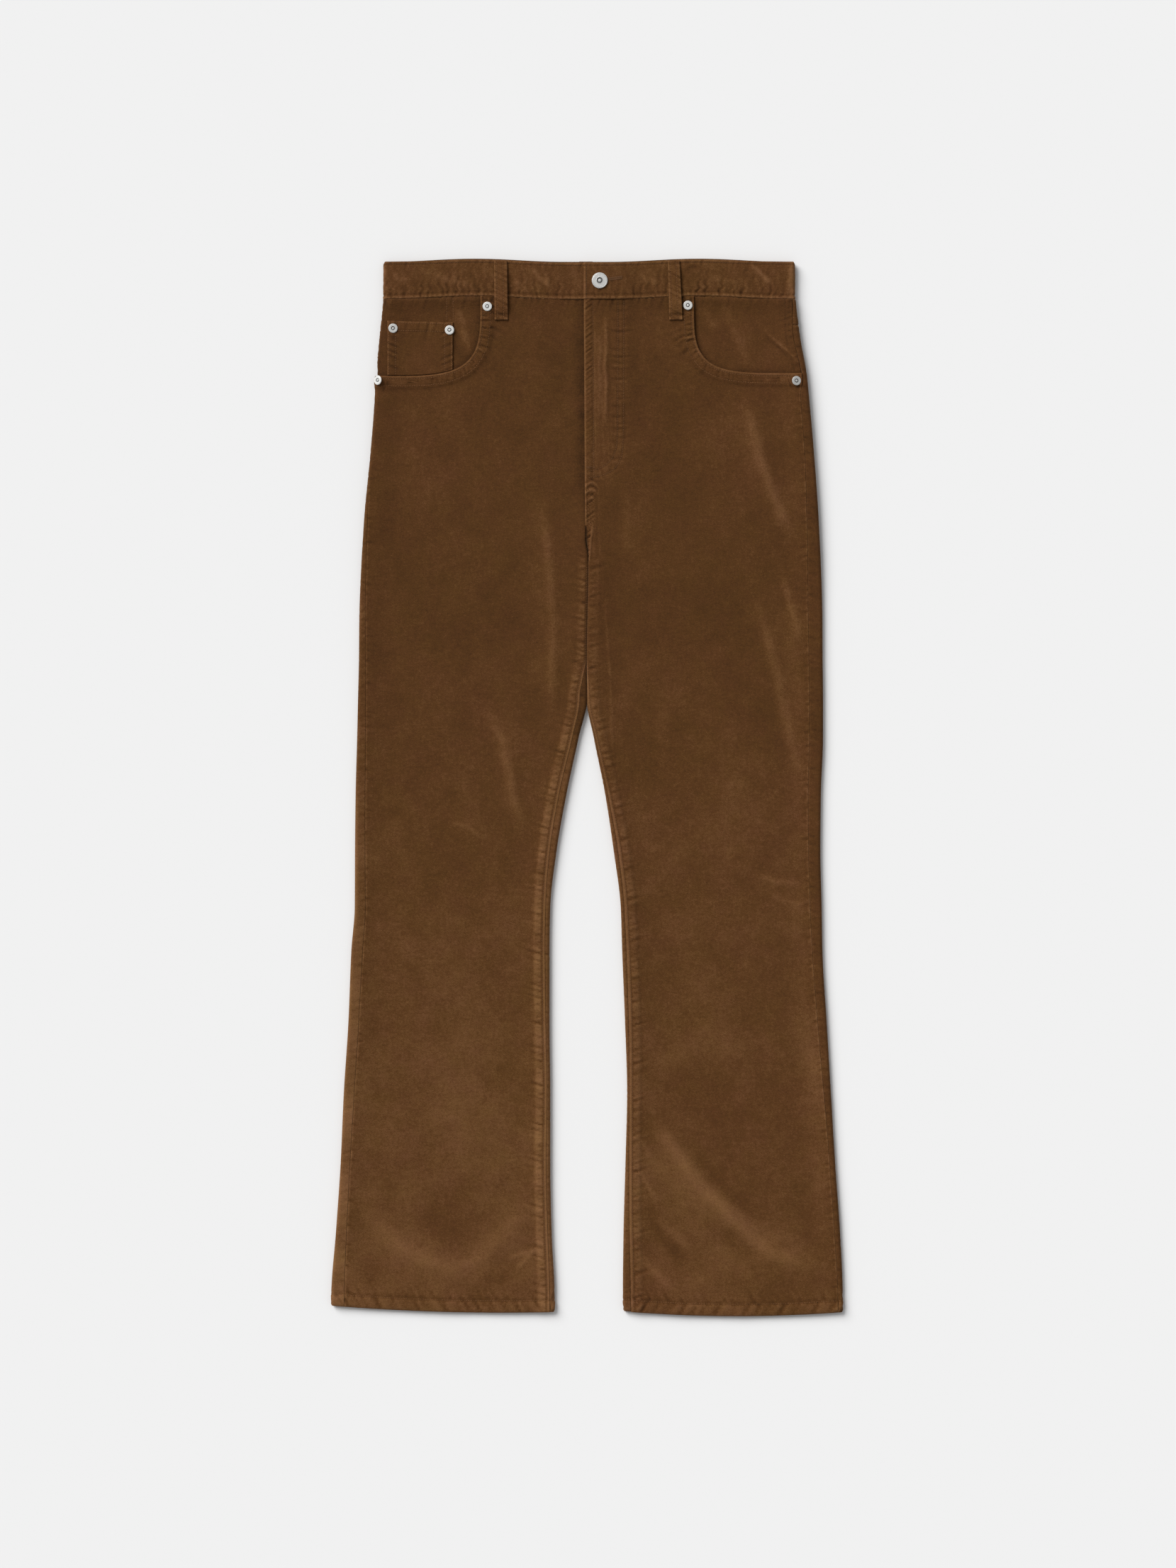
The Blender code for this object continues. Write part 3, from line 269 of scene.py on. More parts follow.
Side = namedtuple("Side", "name inward hem_outer hem_inner hem_dip scoop_x scoop_y scoop_power "
                  "sections folds creases troughs facing_creases")
RIGHT = Side("right", 1, -560.6, -567.6, 3.4, -115.2, 444.9, 4.2,
             [row[:5] for row in SECTIONS],
             RIGHT_FOLDS, RIGHT_CREASES, RIGHT_TROUGHS, RIGHT_FACING_CREASES)
LEFT = Side("left", -1, -567.6, -566.8, 5.0, 116.0, 448.1, 4.5,
            [(row[0], *row[5:]) for row in SECTIONS],
            LEFT_FOLDS, LEFT_CREASES, LEFT_TROUGHS, LEFT_FACING_CREASES)

# Belt loops: centre, lean of the centre line, how much narrower the top is, and the side they are on.
Loop = namedtuple("Loop", "name x lean taper face")
LOOP_WIDTH = 14.4
LOOP_CLOTH = 1.8
LOOP_LOW = 505.6
LOOP_HIGH = 569.6
LOOPS = (
    Loop("belt_loop_front_right", -92.9, 0.8, 0.3, "front"),
    Loop("belt_loop_front_left", 95.1, 2.4, 1.8, "front"),
    Loop("belt_loop_side_right", -128.0, 0.0, 0.2, "back"),
    Loop("belt_loop_side_left", 128.0, 0.0, 0.4, "back"),
    Loop("belt_loop_back", -1.0, 0.0, 0.0, "back"),
)

BUTTON_X = 13.8
BUTTON_Y = 547.9
EYELET_RADIUS = 2.3
SLIT_LENGTH = 24.0
SLIT_WIDTH = 0.3
SLIT_ANGLE = math.radians(8)

# Rivets: place on the cloth, the layer they are set in, and how far they lean out over the side fold.
Rivet = namedtuple("Rivet", "name side x y layer lean")
RIVETS = (
    Rivet("rivet_waist_right", RIGHT, -107.7, 520.2, "front", 0),
    Rivet("rivet_hip_right", RIGHT, -225.4, 440.0, "front", 30),
    Rivet("rivet_coin_outer", RIGHT, -209.6, 496.5, "coin", 0),
    Rivet("rivet_coin_inner", RIGHT, -148.6, 494.9, "coin", 0),
    Rivet("rivet_waist_left", LEFT, 109.2, 521.4, "front", 0),
    Rivet("rivet_hip_left", LEFT, 226.6, 439.6, "front", 20),
)

COIN_LEFT = -215.8
COIN_RIGHT = -145.0
COIN_TOP_LEFT = 504.6
COIN_TOP_RIGHT = 503.4
COIN_GAP = 0.6

PATCH_X = 112.0
PATCH_TOP = 434.0
PATCH_HEIGHT = 158.0
PATCH_SIDE = 132.0
PATCH_TOP_WIDTH = 152.0
PATCH_LOW_WIDTH = 128.0
PATCH_CLOTH = 1.8

ZIP_X = 20.0
ZIP_LOW = 395.0

# ---- sewing

# Rows of the fly, from the waist down and round to the centre seam, in X and Y.
FLY_ROWS = (
    ((39.9, 527), (39.6, 372), (37.8, 357), (31.6, 345.6), (22.8, 339.8), (12.6, 336.2), (1.5, 335.0)),
    ((33.8, 527), (33.4, 384), (32.0, 367), (27.8, 355.6), (18.8, 347.2), (9.2, 343.4), (1.5, 342.0)),
)
FLY_EDGE = 10.0
FLY_BARS = (346.0, 347.2)
# Arcs of cloth that pull in under the fly's foot: height, reach and rise.
FLY_ARCS = ((325.0, 15.0, 4.4), (317.5, 15.0, 4.6), (310.0, 12.0, 3.6))
SCOOP_ROWS = (3.1, 10.8)
SCOOP_SUNK = 462.0
INSEAM_ROW = 3.5
COIN_TOP_ROWS = (1.8, 10.2)
COIN_SIDE_ROWS = (1.7, 8.9)
COIN_TAIL_ROWS = (-151.6, -144.7)
BAND_TOP_ROW = 2.9
LOOP_ROWS = (-4.2, 2.7)
POCKET_EDGE_ROWS = (1.6, 7.8)
POCKET_TOP_ROW = 12.0
POCKET_POINT = 140.0
YOKE_ROWS = (1.8, 8.0)
SEAT_ROWS = (1.8, 8.0)


# ---- settings

class JeansCloth(PropertyGroup):
    """Sizes and colours of the velvet."""
    thickness: FloatProperty(name="Cloth thickness", description="Thickness of one layer of velvet",
        default=0.0015, min=0.0008, max=0.003, unit="LENGTH")
    seam_groove: FloatProperty(name="Seam groove", description="Depth of the groove at a plain seam",
        default=0.0009, min=0.0, max=0.002, unit="LENGTH")
    pucker: FloatProperty(name="Seam puckers", description="Height of the small waves beside the seams",
        default=0.0005, min=0.0, max=0.002, unit="LENGTH")
    row_groove: FloatProperty(name="Stitched groove", description="Depth that a row of stitching pulls in",
        default=0.00035, min=0.0, max=0.001, unit="LENGTH")
    pile: FloatVectorProperty(name="Pile", description="Colour of the pile seen from above",
        default=(0.0825, 0.0318, 0.0075), subtype="COLOR", size=3, min=0, max=1)
    # Light end of the velvet's colour ramp: lighter pile, and the painted highlights of lit ridges and edges.
    pile_light_and_painted_highlight: FloatVectorProperty(
        name="Light pile and painted highlight", description="Colour where the pile is turned to the light",
        default=(0.212, 0.100, 0.0405), subtype="COLOR", size=3, min=0, max=1)
    # Dark end of the velvet's colour ramp: darker pile, and the painted shade of grooves, slits and troughs.
    pile_dark_and_painted_shade: FloatVectorProperty(name="Dark pile and painted shade", description="Colour where the pile is turned away",
        default=(0.030, 0.0108, 0.0019), subtype="COLOR", size=3, min=0, max=1)


class JeansSewing(PropertyGroup):
    """Sizes and colour of the thread."""
    pitch: FloatProperty(name="Stitch pitch", description="Distance from one stitch to the next",
        default=0.0026, min=0.0015, max=0.005, unit="LENGTH")
    length: FloatProperty(name="Stitch length", description="Length of a stitch that shows",
        default=0.0020, min=0.001, max=0.005, unit="LENGTH")
    width: FloatProperty(name="Thread width", description="Width of the thread",
        default=0.00055, min=0.0002, max=0.001, unit="LENGTH")
    thread: FloatVectorProperty(name="Thread", description="Colour of the thread",
        default=(0.168, 0.074, 0.027), subtype="COLOR", size=3, min=0, max=1)


class JeansMetal(PropertyGroup):
    """Sizes and colour of the button and rivets."""
    button_radius: FloatProperty(name="Button radius", description="Radius of the waist button",
        default=0.0085, min=0.006, max=0.011, unit="LENGTH")
    rivet_radius: FloatProperty(name="Rivet radius", description="Radius of a rivet",
        default=0.005, min=0.003, max=0.006, unit="LENGTH")
    colour: FloatVectorProperty(name="Metal", description="Colour of the metal",
        default=(0.655, 0.65, 0.63), subtype="COLOR", size=3, min=0, max=1)


class JeansStage(PropertyGroup):
    """The floor, the light and the camera."""
    camera_height: FloatProperty(name="Camera height", description="Height of the camera over the floor",
        default=4.0, min=1.0, max=10.0, unit="LENGTH")
    framed: FloatProperty(
        name="Framed length", description="Length that the long side of the picture takes in",
        default=1.699, min=1.0, max=3.0, unit="LENGTH")
    key: FloatProperty(name="Key light", description="Strength of the soft light from the upper left",
        default=3.75, min=0.0, max=20.0)
    key_height: FloatProperty(name="Key height", description="How high the key light stands over the floor",
        default=math.radians(36), min=0.1, max=1.57, unit="ROTATION")
    key_spread: FloatProperty(name="Key spread", description="How wide the key light looks from the jeans",
        default=math.radians(40), min=0.0, max=3.14, unit="ROTATION")
    ambient: FloatProperty(name="Surrounding light", description="Strength of the even light all round",
        default=0.38, min=0.0, max=3.0)
    floor: FloatVectorProperty(name="Floor", description="Colour of the plain floor",
        default=(0.812, 0.812, 0.812), subtype="COLOR", size=3, min=0, max=1)
    floor_width: FloatProperty(name="Floor width", description="Width of the floor",
        default=8.0, min=4.0, max=20.0, unit="LENGTH")


# ---- the form of the cloth

def ramp(value, start, end):
    """Rises smoothly from 0 at start to 1 at end."""
    share = np.clip((value - start) / (end - start), 0, 1)
    return share * share * (3 - 2 * share)


def bell(value, width):
    """1 at zero, dying away over the width."""
    return np.exp(-(value / width) ** 2)


def read(table, columns, name, y):
    """Reads one column of a table at heights y, smoothly and without overshoot."""
    rows = sorted(table)
    at = np.array([row[0] for row in rows], dtype=float)
    value = np.array([row[columns.index(name)] for row in rows], dtype=float)
    step = np.diff(at)
    slope = np.diff(value) / step
    turning = slope[:-1] * slope[1:] <= 0
    first = 2 * step[1:] + step[:-1]
    second = step[1:] + 2 * step[:-1]
    before = np.where(turning, 1, slope[:-1])
    after = np.where(turning, 1, slope[1:])
    mean = (first + second) / (first / before + second / after)
    tangent = np.concatenate(([slope[0]], np.where(turning, 0, mean), [slope[-1]]))
    y = np.clip(np.asarray(y, dtype=float), at[0], at[-1])
    low = np.clip(np.searchsorted(at, y, side="right") - 1, 0, len(step) - 1)
    share = (y - at[low]) / step[low]
    return (value[low] * (1 + 2 * share) * (1 - share) ** 2
            + tangent[low] * step[low] * share * (1 - share) ** 2
            + value[low + 1] * share ** 2 * (3 - 2 * share)
            + tangent[low + 1] * step[low] * share ** 2 * (share - 1))


def section(side, y):
    """The section of one side at heights y: its folds, seams, levels, fold radii and girths."""
    cut = SimpleNamespace()
    for name in SECTION_COLUMNS[1:]:
        setattr(cut, name, read(side.sections, SECTION_COLUMNS, name, y))
    for name in LEVEL_COLUMNS[1:]:
        setattr(cut, name, read(LEVELS, LEVEL_COLUMNS, name, y))
    cut.inner_fold = cut.inner_fold + side.inward * CENTRE_LAP
    cut.width = (cut.inner_fold - cut.outer_fold) * side.inward
    cut.outer_radius = (cut.outer_edge - cut.underside) / 2
    cut.inner_radius = (cut.inner_edge - cut.underside) / 2
    cut.turn = np.radians(90) * (1 - ramp(y, TURN_END, TURN_START))
    cut.outer_arc = cut.outer_radius * math.pi / 2
    cut.inner_arc = cut.inner_radius * cut.turn
    flat = cut.width - cut.outer_radius - cut.inner_radius * np.sin(cut.turn)
    cut.girth = cut.outer_arc + flat + cut.inner_arc
    return cut


def along(inset, radius):
    """Distance round a fold of the given radius to a point that lies inset from the fold's edge."""
    bent = radius * np.arccos(np.clip(1 - np.abs(inset) / radius, 0, 1))
    straight = radius * math.pi / 2 + np.abs(inset) - radius
    return np.sign(inset) * np.where(np.abs(inset) < radius, bent, straight)


def round_from(side, x, y):
    """Distance round the section to a place x on the front."""
    cut = section(side, y)
    return along((x - cut.outer_fold) * side.inward, cut.outer_radius)


def unit(vectors):
    """Vectors brought to a length of 1."""
    return vectors / np.linalg.norm(vectors, axis=-1, keepdims=True)


def summed(lengths):
    """The distance run at each point of a line, from the lengths between its points."""
    return np.concatenate(([0], np.cumsum(lengths)))


def at_run(where, run, points):
    """Points at distances along a line, from its points and the distance run at each of them."""
    return np.stack([np.interp(where, run, column) for column in points.T], -1)


def line_gap(x, y, points):
    """Distance to a line of points, the distance along it, and the share of its length."""
    corners = np.array(points, dtype=float)
    lengths = np.hypot(*np.diff(corners, axis=0).T)
    before = summed(lengths)
    reach = np.full_like(x, 1e9)
    run_to = np.zeros_like(x)
    for number, (start, end) in enumerate(zip(corners[:-1], corners[1:])):
        run = end - start
        t = np.clip(((x - start[0]) * run[0] + (y - start[1]) * run[1]) / run.dot(run), 0, 1)
        gap = np.hypot(x - start[0] - t * run[0], y - start[1] - t * run[1])
        nearer = gap < reach
        run_to = np.where(nearer, before[number] + t * lengths[number], run_to)
        reach = np.where(nearer, gap, reach)
    return reach, run_to, run_to / before[-1]


def folds(rows, x, y):
    """Height and painted light and shade that a table of folds adds at places on the cloth."""
    height, nap = np.zeros_like(x), np.zeros_like(x)
    for points, rise, width, turned in rows:
        reach, _, share = line_gap(x, y, points)
        fade = ramp(share, 0, 0.3) * ramp(1 - share, 0, 0.3)
        height += rise * fade * bell(reach, width)
        # Painted light along the fold: a highlight where its weight is above zero, and shade where it is
        # below.
        nap += turned * fade * bell(reach, width * 1.15)
    return height, nap


def front_height(side, x, y, cut, folded=True):
    """Height of the front's outer face, where it lies flat between its folds."""
    from_outer = np.maximum((x - cut.outer_fold) * side.inward - cut.outer_radius, 0)
    from_inner = np.maximum((cut.inner_fold - x) * side.inward - cut.inner_radius, 0)
    height = cut.middle + (cut.outer_edge - cut.middle) * bell(from_outer, ROLL_WIDTH)
    height = height + (cut.inner_edge - cut.middle) * bell(from_inner, ROLL_WIDTH)
    if folded:
        height = height + folds(side.folds, x, y)[0]
    if side is RIGHT:
        share = ramp(x, -60, -14) * ramp(y, 288, 322)
        return height + (FLY_UNDER - height) * share
    share = (1 - ramp(x, 38, 62)) * ramp(y, 290, 322)
    return height + (FLY_TOP - height) * share


def skin(side, g, y, folded=True):
    """Outer face of the cloth at g round the section: above zero over the front, below under the back."""
    cut = section(side, y)
    wrapped = -g - cut.girth
    wraps = wrapped > 0.001
    over = (g >= 0) | wraps
    run = np.where(wraps, cut.girth - wrapped, np.abs(g))
    lean = np.clip(run / cut.outer_radius, 0, math.pi / 2)
    from_end = cut.girth - run
    bend = np.where(cut.inner_arc > 1e-6, np.clip(cut.turn - from_end / cut.inner_radius, 0, None), 0)
    inset = np.where(run < cut.outer_arc, cut.outer_radius * (1 - np.cos(lean)),
                     cut.outer_radius + run - cut.outer_arc)
    rounded = cut.width - cut.inner_radius * (np.sin(cut.turn) - np.sin(bend))
    inset = np.where(bend > 0, rounded, inset)
    x = cut.outer_fold + side.inward * inset
    flat = np.where(over, front_height(side, x, y, cut, folded), cut.underside)
    outer_middle = cut.underside + cut.outer_radius
    inner_middle = cut.underside + cut.inner_radius
    z = flat + (outer_middle - flat) * (1 - np.sin(lean)) + (inner_middle - flat) * (1 - np.cos(bend))
    return np.stack([x, y, z], -1)


def outward(side, g, y, folded=True):
    """Unit normals of the skin."""
    around = skin(side, g + 0.25, y, folded) - skin(side, g - 0.25, y, folded)
    upward = skin(side, g, y + 1, folded) - skin(side, g, y - 1, folded)
    return unit(side.inward * np.cross(around, upward))


def waist_line(x):
    """Height of the waistband's lower seam."""
    share = np.clip((np.abs(x) - WAIST_LEVEL) / (WAIST_FOLD - WAIST_LEVEL), 0, 1)
    return WAIST_SEAM + WAIST_RISE * np.sin(math.pi * share) ** 2


def hem_edge(side, g, y):
    """Height of the hem's lower edge below a place on the cloth."""
    share = np.clip(np.abs(g) / section(side, y).girth, 0, 1)
    return side.hem_outer + (side.hem_inner - side.hem_outer) * share - side.hem_dip * 4 * share * (1 - share)


def laid_open(side, cut, g):
    """X of a place on either face as if the outer fold were laid open."""
    return cut.outer_fold + side.inward * np.abs(g)


def bend_rows(side, g, y):
    """Bends level rows to follow the hem and the waist seam near their ends."""
    cut = section(side, np.clip(y, HEM_LINE, WAIST_SEAM))
    x = laid_open(side, cut, g)
    low = 1 - ramp(y, HEM_LINE, HEM_LINE + BEND_LENGTH)
    high = ramp(y, WAIST_SEAM - BEND_LENGTH, WAIST_SEAM)
    hem = hem_edge(side, g, np.clip(y, HEM_LINE, WAIST_SEAM))
    return y + (hem - HEM_LINE) * low + (waist_line(x) - WAIST_SEAM) * high


def scoop_edge(side, steps=40):
    """Points of the pocket's scooped edge, from the outseam to the waist, as unrolled x and y."""
    cut = section(side, side.scoop_y)
    start = cut.outer_fold + side.inward * (cut.outseam + SEAM_GAP / 2)
    power = side.scoop_power
    across = np.linspace(0, 0.9, steps)
    down = np.linspace(0.72, 0, steps // 2)
    across, down = (np.concatenate((across, (1 - down ** power) ** (1 / power))),
                    np.concatenate(((1 - across ** power) ** (1 / power), down)))
    x = start + (side.scoop_x - start) * across
    top = waist_line(np.array(side.scoop_x)) - SEAM_GAP / 2
    return x, top + (side.scoop_y - top) * down


def inseam_end(cut):
    """The gap that a piece keeps at the inseam; where the fold opens, above the legs, it keeps none."""
    return np.where(cut.turn > FULL_TURN, SEAM_GAP / 2, 0)


def outer_edge(side, y):
    """The front panel's outer edge along the outseam."""
    cut = section(side, y)
    return along(cut.outseam, cut.outer_radius) + SEAM_GAP / 2


def inner_edge(side, y, underlap=True):
    """The front panel's inner edge: the inseam, the centre seam, and the underlap on the right."""
    cut = section(side, y)
    edge = cut.girth - along(cut.inseam, cut.inner_radius) - inseam_end(cut)
    if side is RIGHT and underlap:
        edge = edge + UNDERLAP * ramp(y, UNDERLAP_END, UNDERLAP_START)
    return edge


# ---- fine form: waves, puckers and rows

def wave(run, pitch, phase=0):
    """An uneven run of small waves, from -1 to 1."""
    turn = math.tau * run / pitch + phase
    wobble = 1.1 * np.sin(0.23 * turn + 2 * phase) + 0.7 * np.sin(0.11 * turn + 5 + phase)
    return (np.sin(turn + wobble) + 0.5 * np.sin(1.63 * turn + 1.7 * wobble + 1)) / 1.5


def crumple(run, pitch, phase=0):
    """An uneven run of soft puffs parted by narrower troughs, some of them hardly there."""
    rise = wave(run, pitch, phase)
    strength = 0.62 + 0.38 * wave(run, 4.3 * pitch, phase + 1.3)
    return strength * (0.65 * rise - 0.9 * ramp(-rise, 0.25, 0.95))


def puckers(run, gap, pitch, reach, lean=0, phase=0):
    """Puffs and troughs that run out from a seam and die away at uneven lengths."""
    length = reach * (1 + 0.45 * wave(run, 5.3 * pitch, phase + 2))
    return crumple(run + lean * gap, pitch, phase) * bell(gap, length) * (1 - 0.6 * bell(gap, 0.8))


def swell(x, y, phase):
    """Low, broad unevenness of cloth that lies on a table."""
    return (wave(x + 0.35 * y, 88, phase) + wave(y - 0.2 * x, 131, phase + 1)
            + 0.6 * wave(0.8 * x - 0.7 * y, 57, phase + 3)) / 2.6


def tone(x, y, phase):
    """Broad tone over the whole garment: deeper over the hips, lighter down the legs."""
    outer = 0.16 * ramp(x, 90, 220) * ramp(-y, 0, 300)
    inner = 0.10 * ramp(x, 10, 40) * ramp(-x, -130, -60) * ramp(-y, 100, 300)
    return 0.33 * ramp(-y, -260, 420) - outer - inner - 0.13 + 0.10 * swell(x, y, phase)


def scoop_gap(side, x, y):
    """Distance to the pocket's scooped edge, and the distance along it."""
    return line_gap(x, y, np.stack(scoop_edge(side), -1))[:2]


def back_ends(cut):
    """How far a back piece runs round its folds: to the outseam and to the inseam."""
    outer = along(cut.outseam, cut.outer_radius) - SEAM_GAP / 2
    return outer, along(cut.inseam, cut.inner_radius) - inseam_end(cut)


def raised(side, g, y, lift, nap, folded=True):
    """A finished face: the skin moved out by lift, its outward normals, and its tone with painted light and
    shade.
    """
    normal = outward(side, g, y, folded)
    return skin(side, g, y, folded) + normal * lift[..., None], normal, nap


def sewn(gap, rows, width):
    """1 on rows of stitching that lie at the given gaps, dying away over the width."""
    return sum(bell(gap - row, width) for row in rows)


def amounts():
    """How deep seams dip, how high puckers stand and how deep stitching pulls, in millimetres."""
    cloth = bpy.context.scene.jeans_cloth
    return cloth.seam_groove / MM, cloth.pucker / MM, cloth.row_groove / MM


def between(value, low, high, soft=1):
    """1 between two values, with soft ends."""
    return ramp(value, low - soft, low + soft) * (1 - ramp(value, high - soft, high + soft))


def unrolled(side, g, y):
    """X of a place on the front as if the outer fold were laid open."""
    cut = section(side, y)
    return np.where(g < cut.outer_arc, cut.outer_fold + side.inward * g, skin(side, g, y)[..., 0])


def scoop_form(side, x, y, phase):
    """Height and painted light and shade of the hemmed pocket edge."""
    _, pucker, pulled = amounts()
    gap, run = scoop_gap(side, x, y)
    hem = 1 - ramp(gap, POCKET_HEM, POCKET_HEM + 4)
    height = POCKET_RISE * hem - 0.4 * bell(gap, 0.7)
    # Painted highlight along the lit edge, the hem a little lighter, and painted shade beyond it and in the
    # stitched rows.
    nap = 0.10 * hem + 0.42 * bell(gap - 1.2, 1.1) - 0.12 * bell(gap - 14, 3)
    height -= pulled * sewn(gap, SCOOP_ROWS, 0.9)
    nap -= 0.16 * sewn(gap, SCOOP_ROWS, 0.8)
    ribs = crumple(run + 0.25 * gap, 3.7, phase) * between(gap, 3, 11, 1.2)
    upright = ramp(y, 462, 474)
    drawn = crumple(run + 0.35 * gap, 7, phase + 1) * ramp(gap, 10.5, 12)
    drawn *= bell(np.maximum(gap - 12, 0), 5 + 6 * upright) * (0.6 + 0.7 * upright)
    knots = crumple(run, 6.2, phase + 2) * bell(gap - 5.5, 4.5) * upright
    height += pucker * (0.9 * ribs + 1.3 * drawn + 1.9 * knots)
    # Painted light on the ribs, puckers and knots: lighter crests and darker troughs.
    return height, nap + 0.34 * ribs + 0.30 * drawn + 0.42 * knots


def inseam_gap(side, y):
    """Distance from the inseam to its sewn row, which closes in on it below the left side's crotch."""
    return INSEAM_ROW - (1.1 * ramp(y, -60, 60) if side is LEFT else 0)


def inseam_form(side, from_inner, y, leg, phase):
    """Height and painted light and shade beside the inseam: a rolled edge, a sewn row and the allowance under
    them.
    """
    _, pucker, pulled = amounts()
    lower = ramp(-y, -200, 60)
    allowance = 1 - ramp(from_inner, ALLOWANCE_WIDTH - 2, ALLOWANCE_WIDTH + 3)
    height = ALLOWANCE_RISE * ramp(-y, -150, -110) * allowance * ramp(from_inner, -1, 9)
    row = inseam_gap(side, y)
    height += (0.12 * bell(from_inner - 1.8, 1.4) - 0.5 * pulled * bell(from_inner - row, 0.8)) * leg
    beside = np.maximum(from_inner - 4.6, 0)
    start = ramp(from_inner, 2.6, 5) * leg
    drawn = puckers(y, beside, 8.4, 10, -0.3, phase) * start
    fine_ones = puckers(y, beside, 4.7, 6, 0.25, phase + 2) * start
    height += pucker * (1.1 * drawn + 0.7 * fine_ones)
    lit = (0.36 + 0.26 * lower) if side is RIGHT else 0.20 + 0.10 * lower
    # Painted highlights on the rolled edge, over the allowance and along the left side's crease; painted
    # shade along the right side's crease; painted light on the puckers.
    nap = leg * 0.64 * between(from_inner, 0.4, row - 0.6, 0.7)
    nap += lit * allowance * ramp(from_inner, 4.2, 6) * leg * (0.85 + 0.35 * wave(y, 47, phase))
    crease = ramp(y, 96, 150) * leg
    if side is LEFT:
        nap += 0.35 * bell(from_inner - 1, 1.4) * crease + 0.16 * bell(from_inner - 13, 1.4) * crease
        nap += 0.42 * bell(from_inner - 4.2, 2.2) * between(y, 34, 112, 20)
    else:
        nap -= 0.12 * bell(from_inner, 6) * crease
    ticks = 1 if side is RIGHT else 0.75
    return height, nap + ticks * (0.58 * drawn + 0.42 * fine_ones)


def centre_form(side, y, from_inner, centre, fly, phase):
    """Height and painted light and shade beside the centre seam, between the fly's foot and the crotch."""
    groove, pucker, _ = amounts()
    opened = np.clip((284 - y) / 44, 0, 1)
    wedge = between(y, 240, 282, 4)
    ridge_at = 8.4 - 6.2 * opened
    inside = 1 - wedge * ramp(from_inner, ridge_at - 1.4, ridge_at - 0.4)
    inside = between(from_inner, 1.2, 10.5, 1.2) * inside
    chevrons = crumple(y - 0.8 * from_inner, 4.6, phase) * inside * ramp(y, 243, 248) * (1 - fly)
    closed = centre * ramp(y, 278, 288)
    if side is RIGHT:
        # Painted shade along the right side of the seam.
        height = -0.3 * groove * bell(from_inner, 1) * centre
        return height, -0.28 * bell(from_inner, 1.8) * centre - 0.12 * bell(from_inner, 9) * centre
    height = 0.8 * bell(from_inner - 1.1, 1) * closed + 2.2 * pucker * chevrons
    height += (0.9 * bell(from_inner - ridge_at, 0.9) - 1.4 * bell(from_inner, 1.6)) * wedge
    # Painted highlights on the ridges and chevrons, and painted shade down the open slit and beside the seam.
    nap = 0.62 * bell(from_inner - 0.9, 0.9) * closed + 0.80 * chevrons
    nap += (0.66 * bell(from_inner - ridge_at, 0.9) - 1.7 * bell(from_inner - 0.5, 1.5)) * wedge
    nap += (0.16 * between(from_inner, 1, 11, 2) + 0.16 * bell(from_inner - 15, 1.2)) * centre
    return height, nap - 0.14 * bell(from_inner - 12, 1.4) * centre


def outseam_form(side, y, from_outer, phase):
    """Height and painted light and shade beside the outseam."""
    _, pucker, _ = amounts()
    here = 1 - ramp(y, side.scoop_y - 6, side.scoop_y)
    dimples = puckers(y, from_outer, 9, 5, 0.2, phase + 2) * here
    height = 0.08 * bell(from_outer - 1.4, 1.2) * here
    uneven = 0.75 + 0.5 * wave(y, 27, phase)
    # Painted highlight along the seam's edge, and painted light on the dimples.
    nap = 0.30 * uneven * bell(from_outer - 0.7, 0.9) * here
    reach = 0.7 if side is RIGHT else 0.8
    if side is LEFT:
        nap += (0.20 * uneven * bell(from_outer - 1, 0.8) + 0.12 * bell(from_outer - 14, 10)) * here
    return height + reach * pucker * dimples, nap + reach * 0.5 * dimples


def hem_form(side, x, up, phase, strength=1):
    """Height and painted light and shade of the turned-up hem, from places' heights over the hem's edge."""
    _, pucker, pulled = amounts()
    turned = between(up, 1, HEM_DEPTH - 1, 1.6)
    height = 0.4 * between(up, 1.5, HEM_DEPTH - 1.5, 2) - 0.8 * bell(up, 1)
    height -= 1.2 * pulled * bell(up - HEM_DEPTH, 1)
    roped = crumple(x + 0.6 * side.inward * up, 13.5, phase) * between(up, 0.6, HEM_DEPTH + 0.5, 2.6)
    drawn = puckers(x, np.maximum(up - HEM_DEPTH, 0), 10, 9, 0.5, phase + 1) * ramp(up, 12.5, 14.5)
    small = crumple(x, 5.2, phase + 2) * bell(up - HEM_DEPTH + 1.4, 2)
    height += pucker * (1.4 * roped + 1.3 * drawn + 0.6 * small)
    # Painted light on the puckers, the hem a little lighter, painted shade above the row and in its groove,
    # and a painted highlight along the lower edge.
    nap = 0.42 * roped + 0.34 * drawn + 0.32 * small + 0.10 * turned
    nap -= 0.12 * bell(up - HEM_DEPTH - 2.4, 1.8) + 0.26 * bell(up - HEM_DEPTH, 0.8)
    return height, strength * nap + 0.40 * bell(up - 0.6, 0.9)


def waist_form(x, below, from_fold, phase, rise):
    """Height and painted light and shade just under the waistband, where the cloth climbs to its seam."""
    _, pucker, _ = amounts()
    drawn = puckers(x, below, 8.5, 9, 0.3, phase + 4)
    height = 0.8 * pucker * drawn + rise * bell(below, 11) * ramp(from_fold, 3, 12)
    # Painted light on the puckers, and painted shade just under the waistband's edge.
    return height, 0.34 * drawn - 0.12 * bell(below, 1.6) - 0.06 * bell(below - 4, 7)


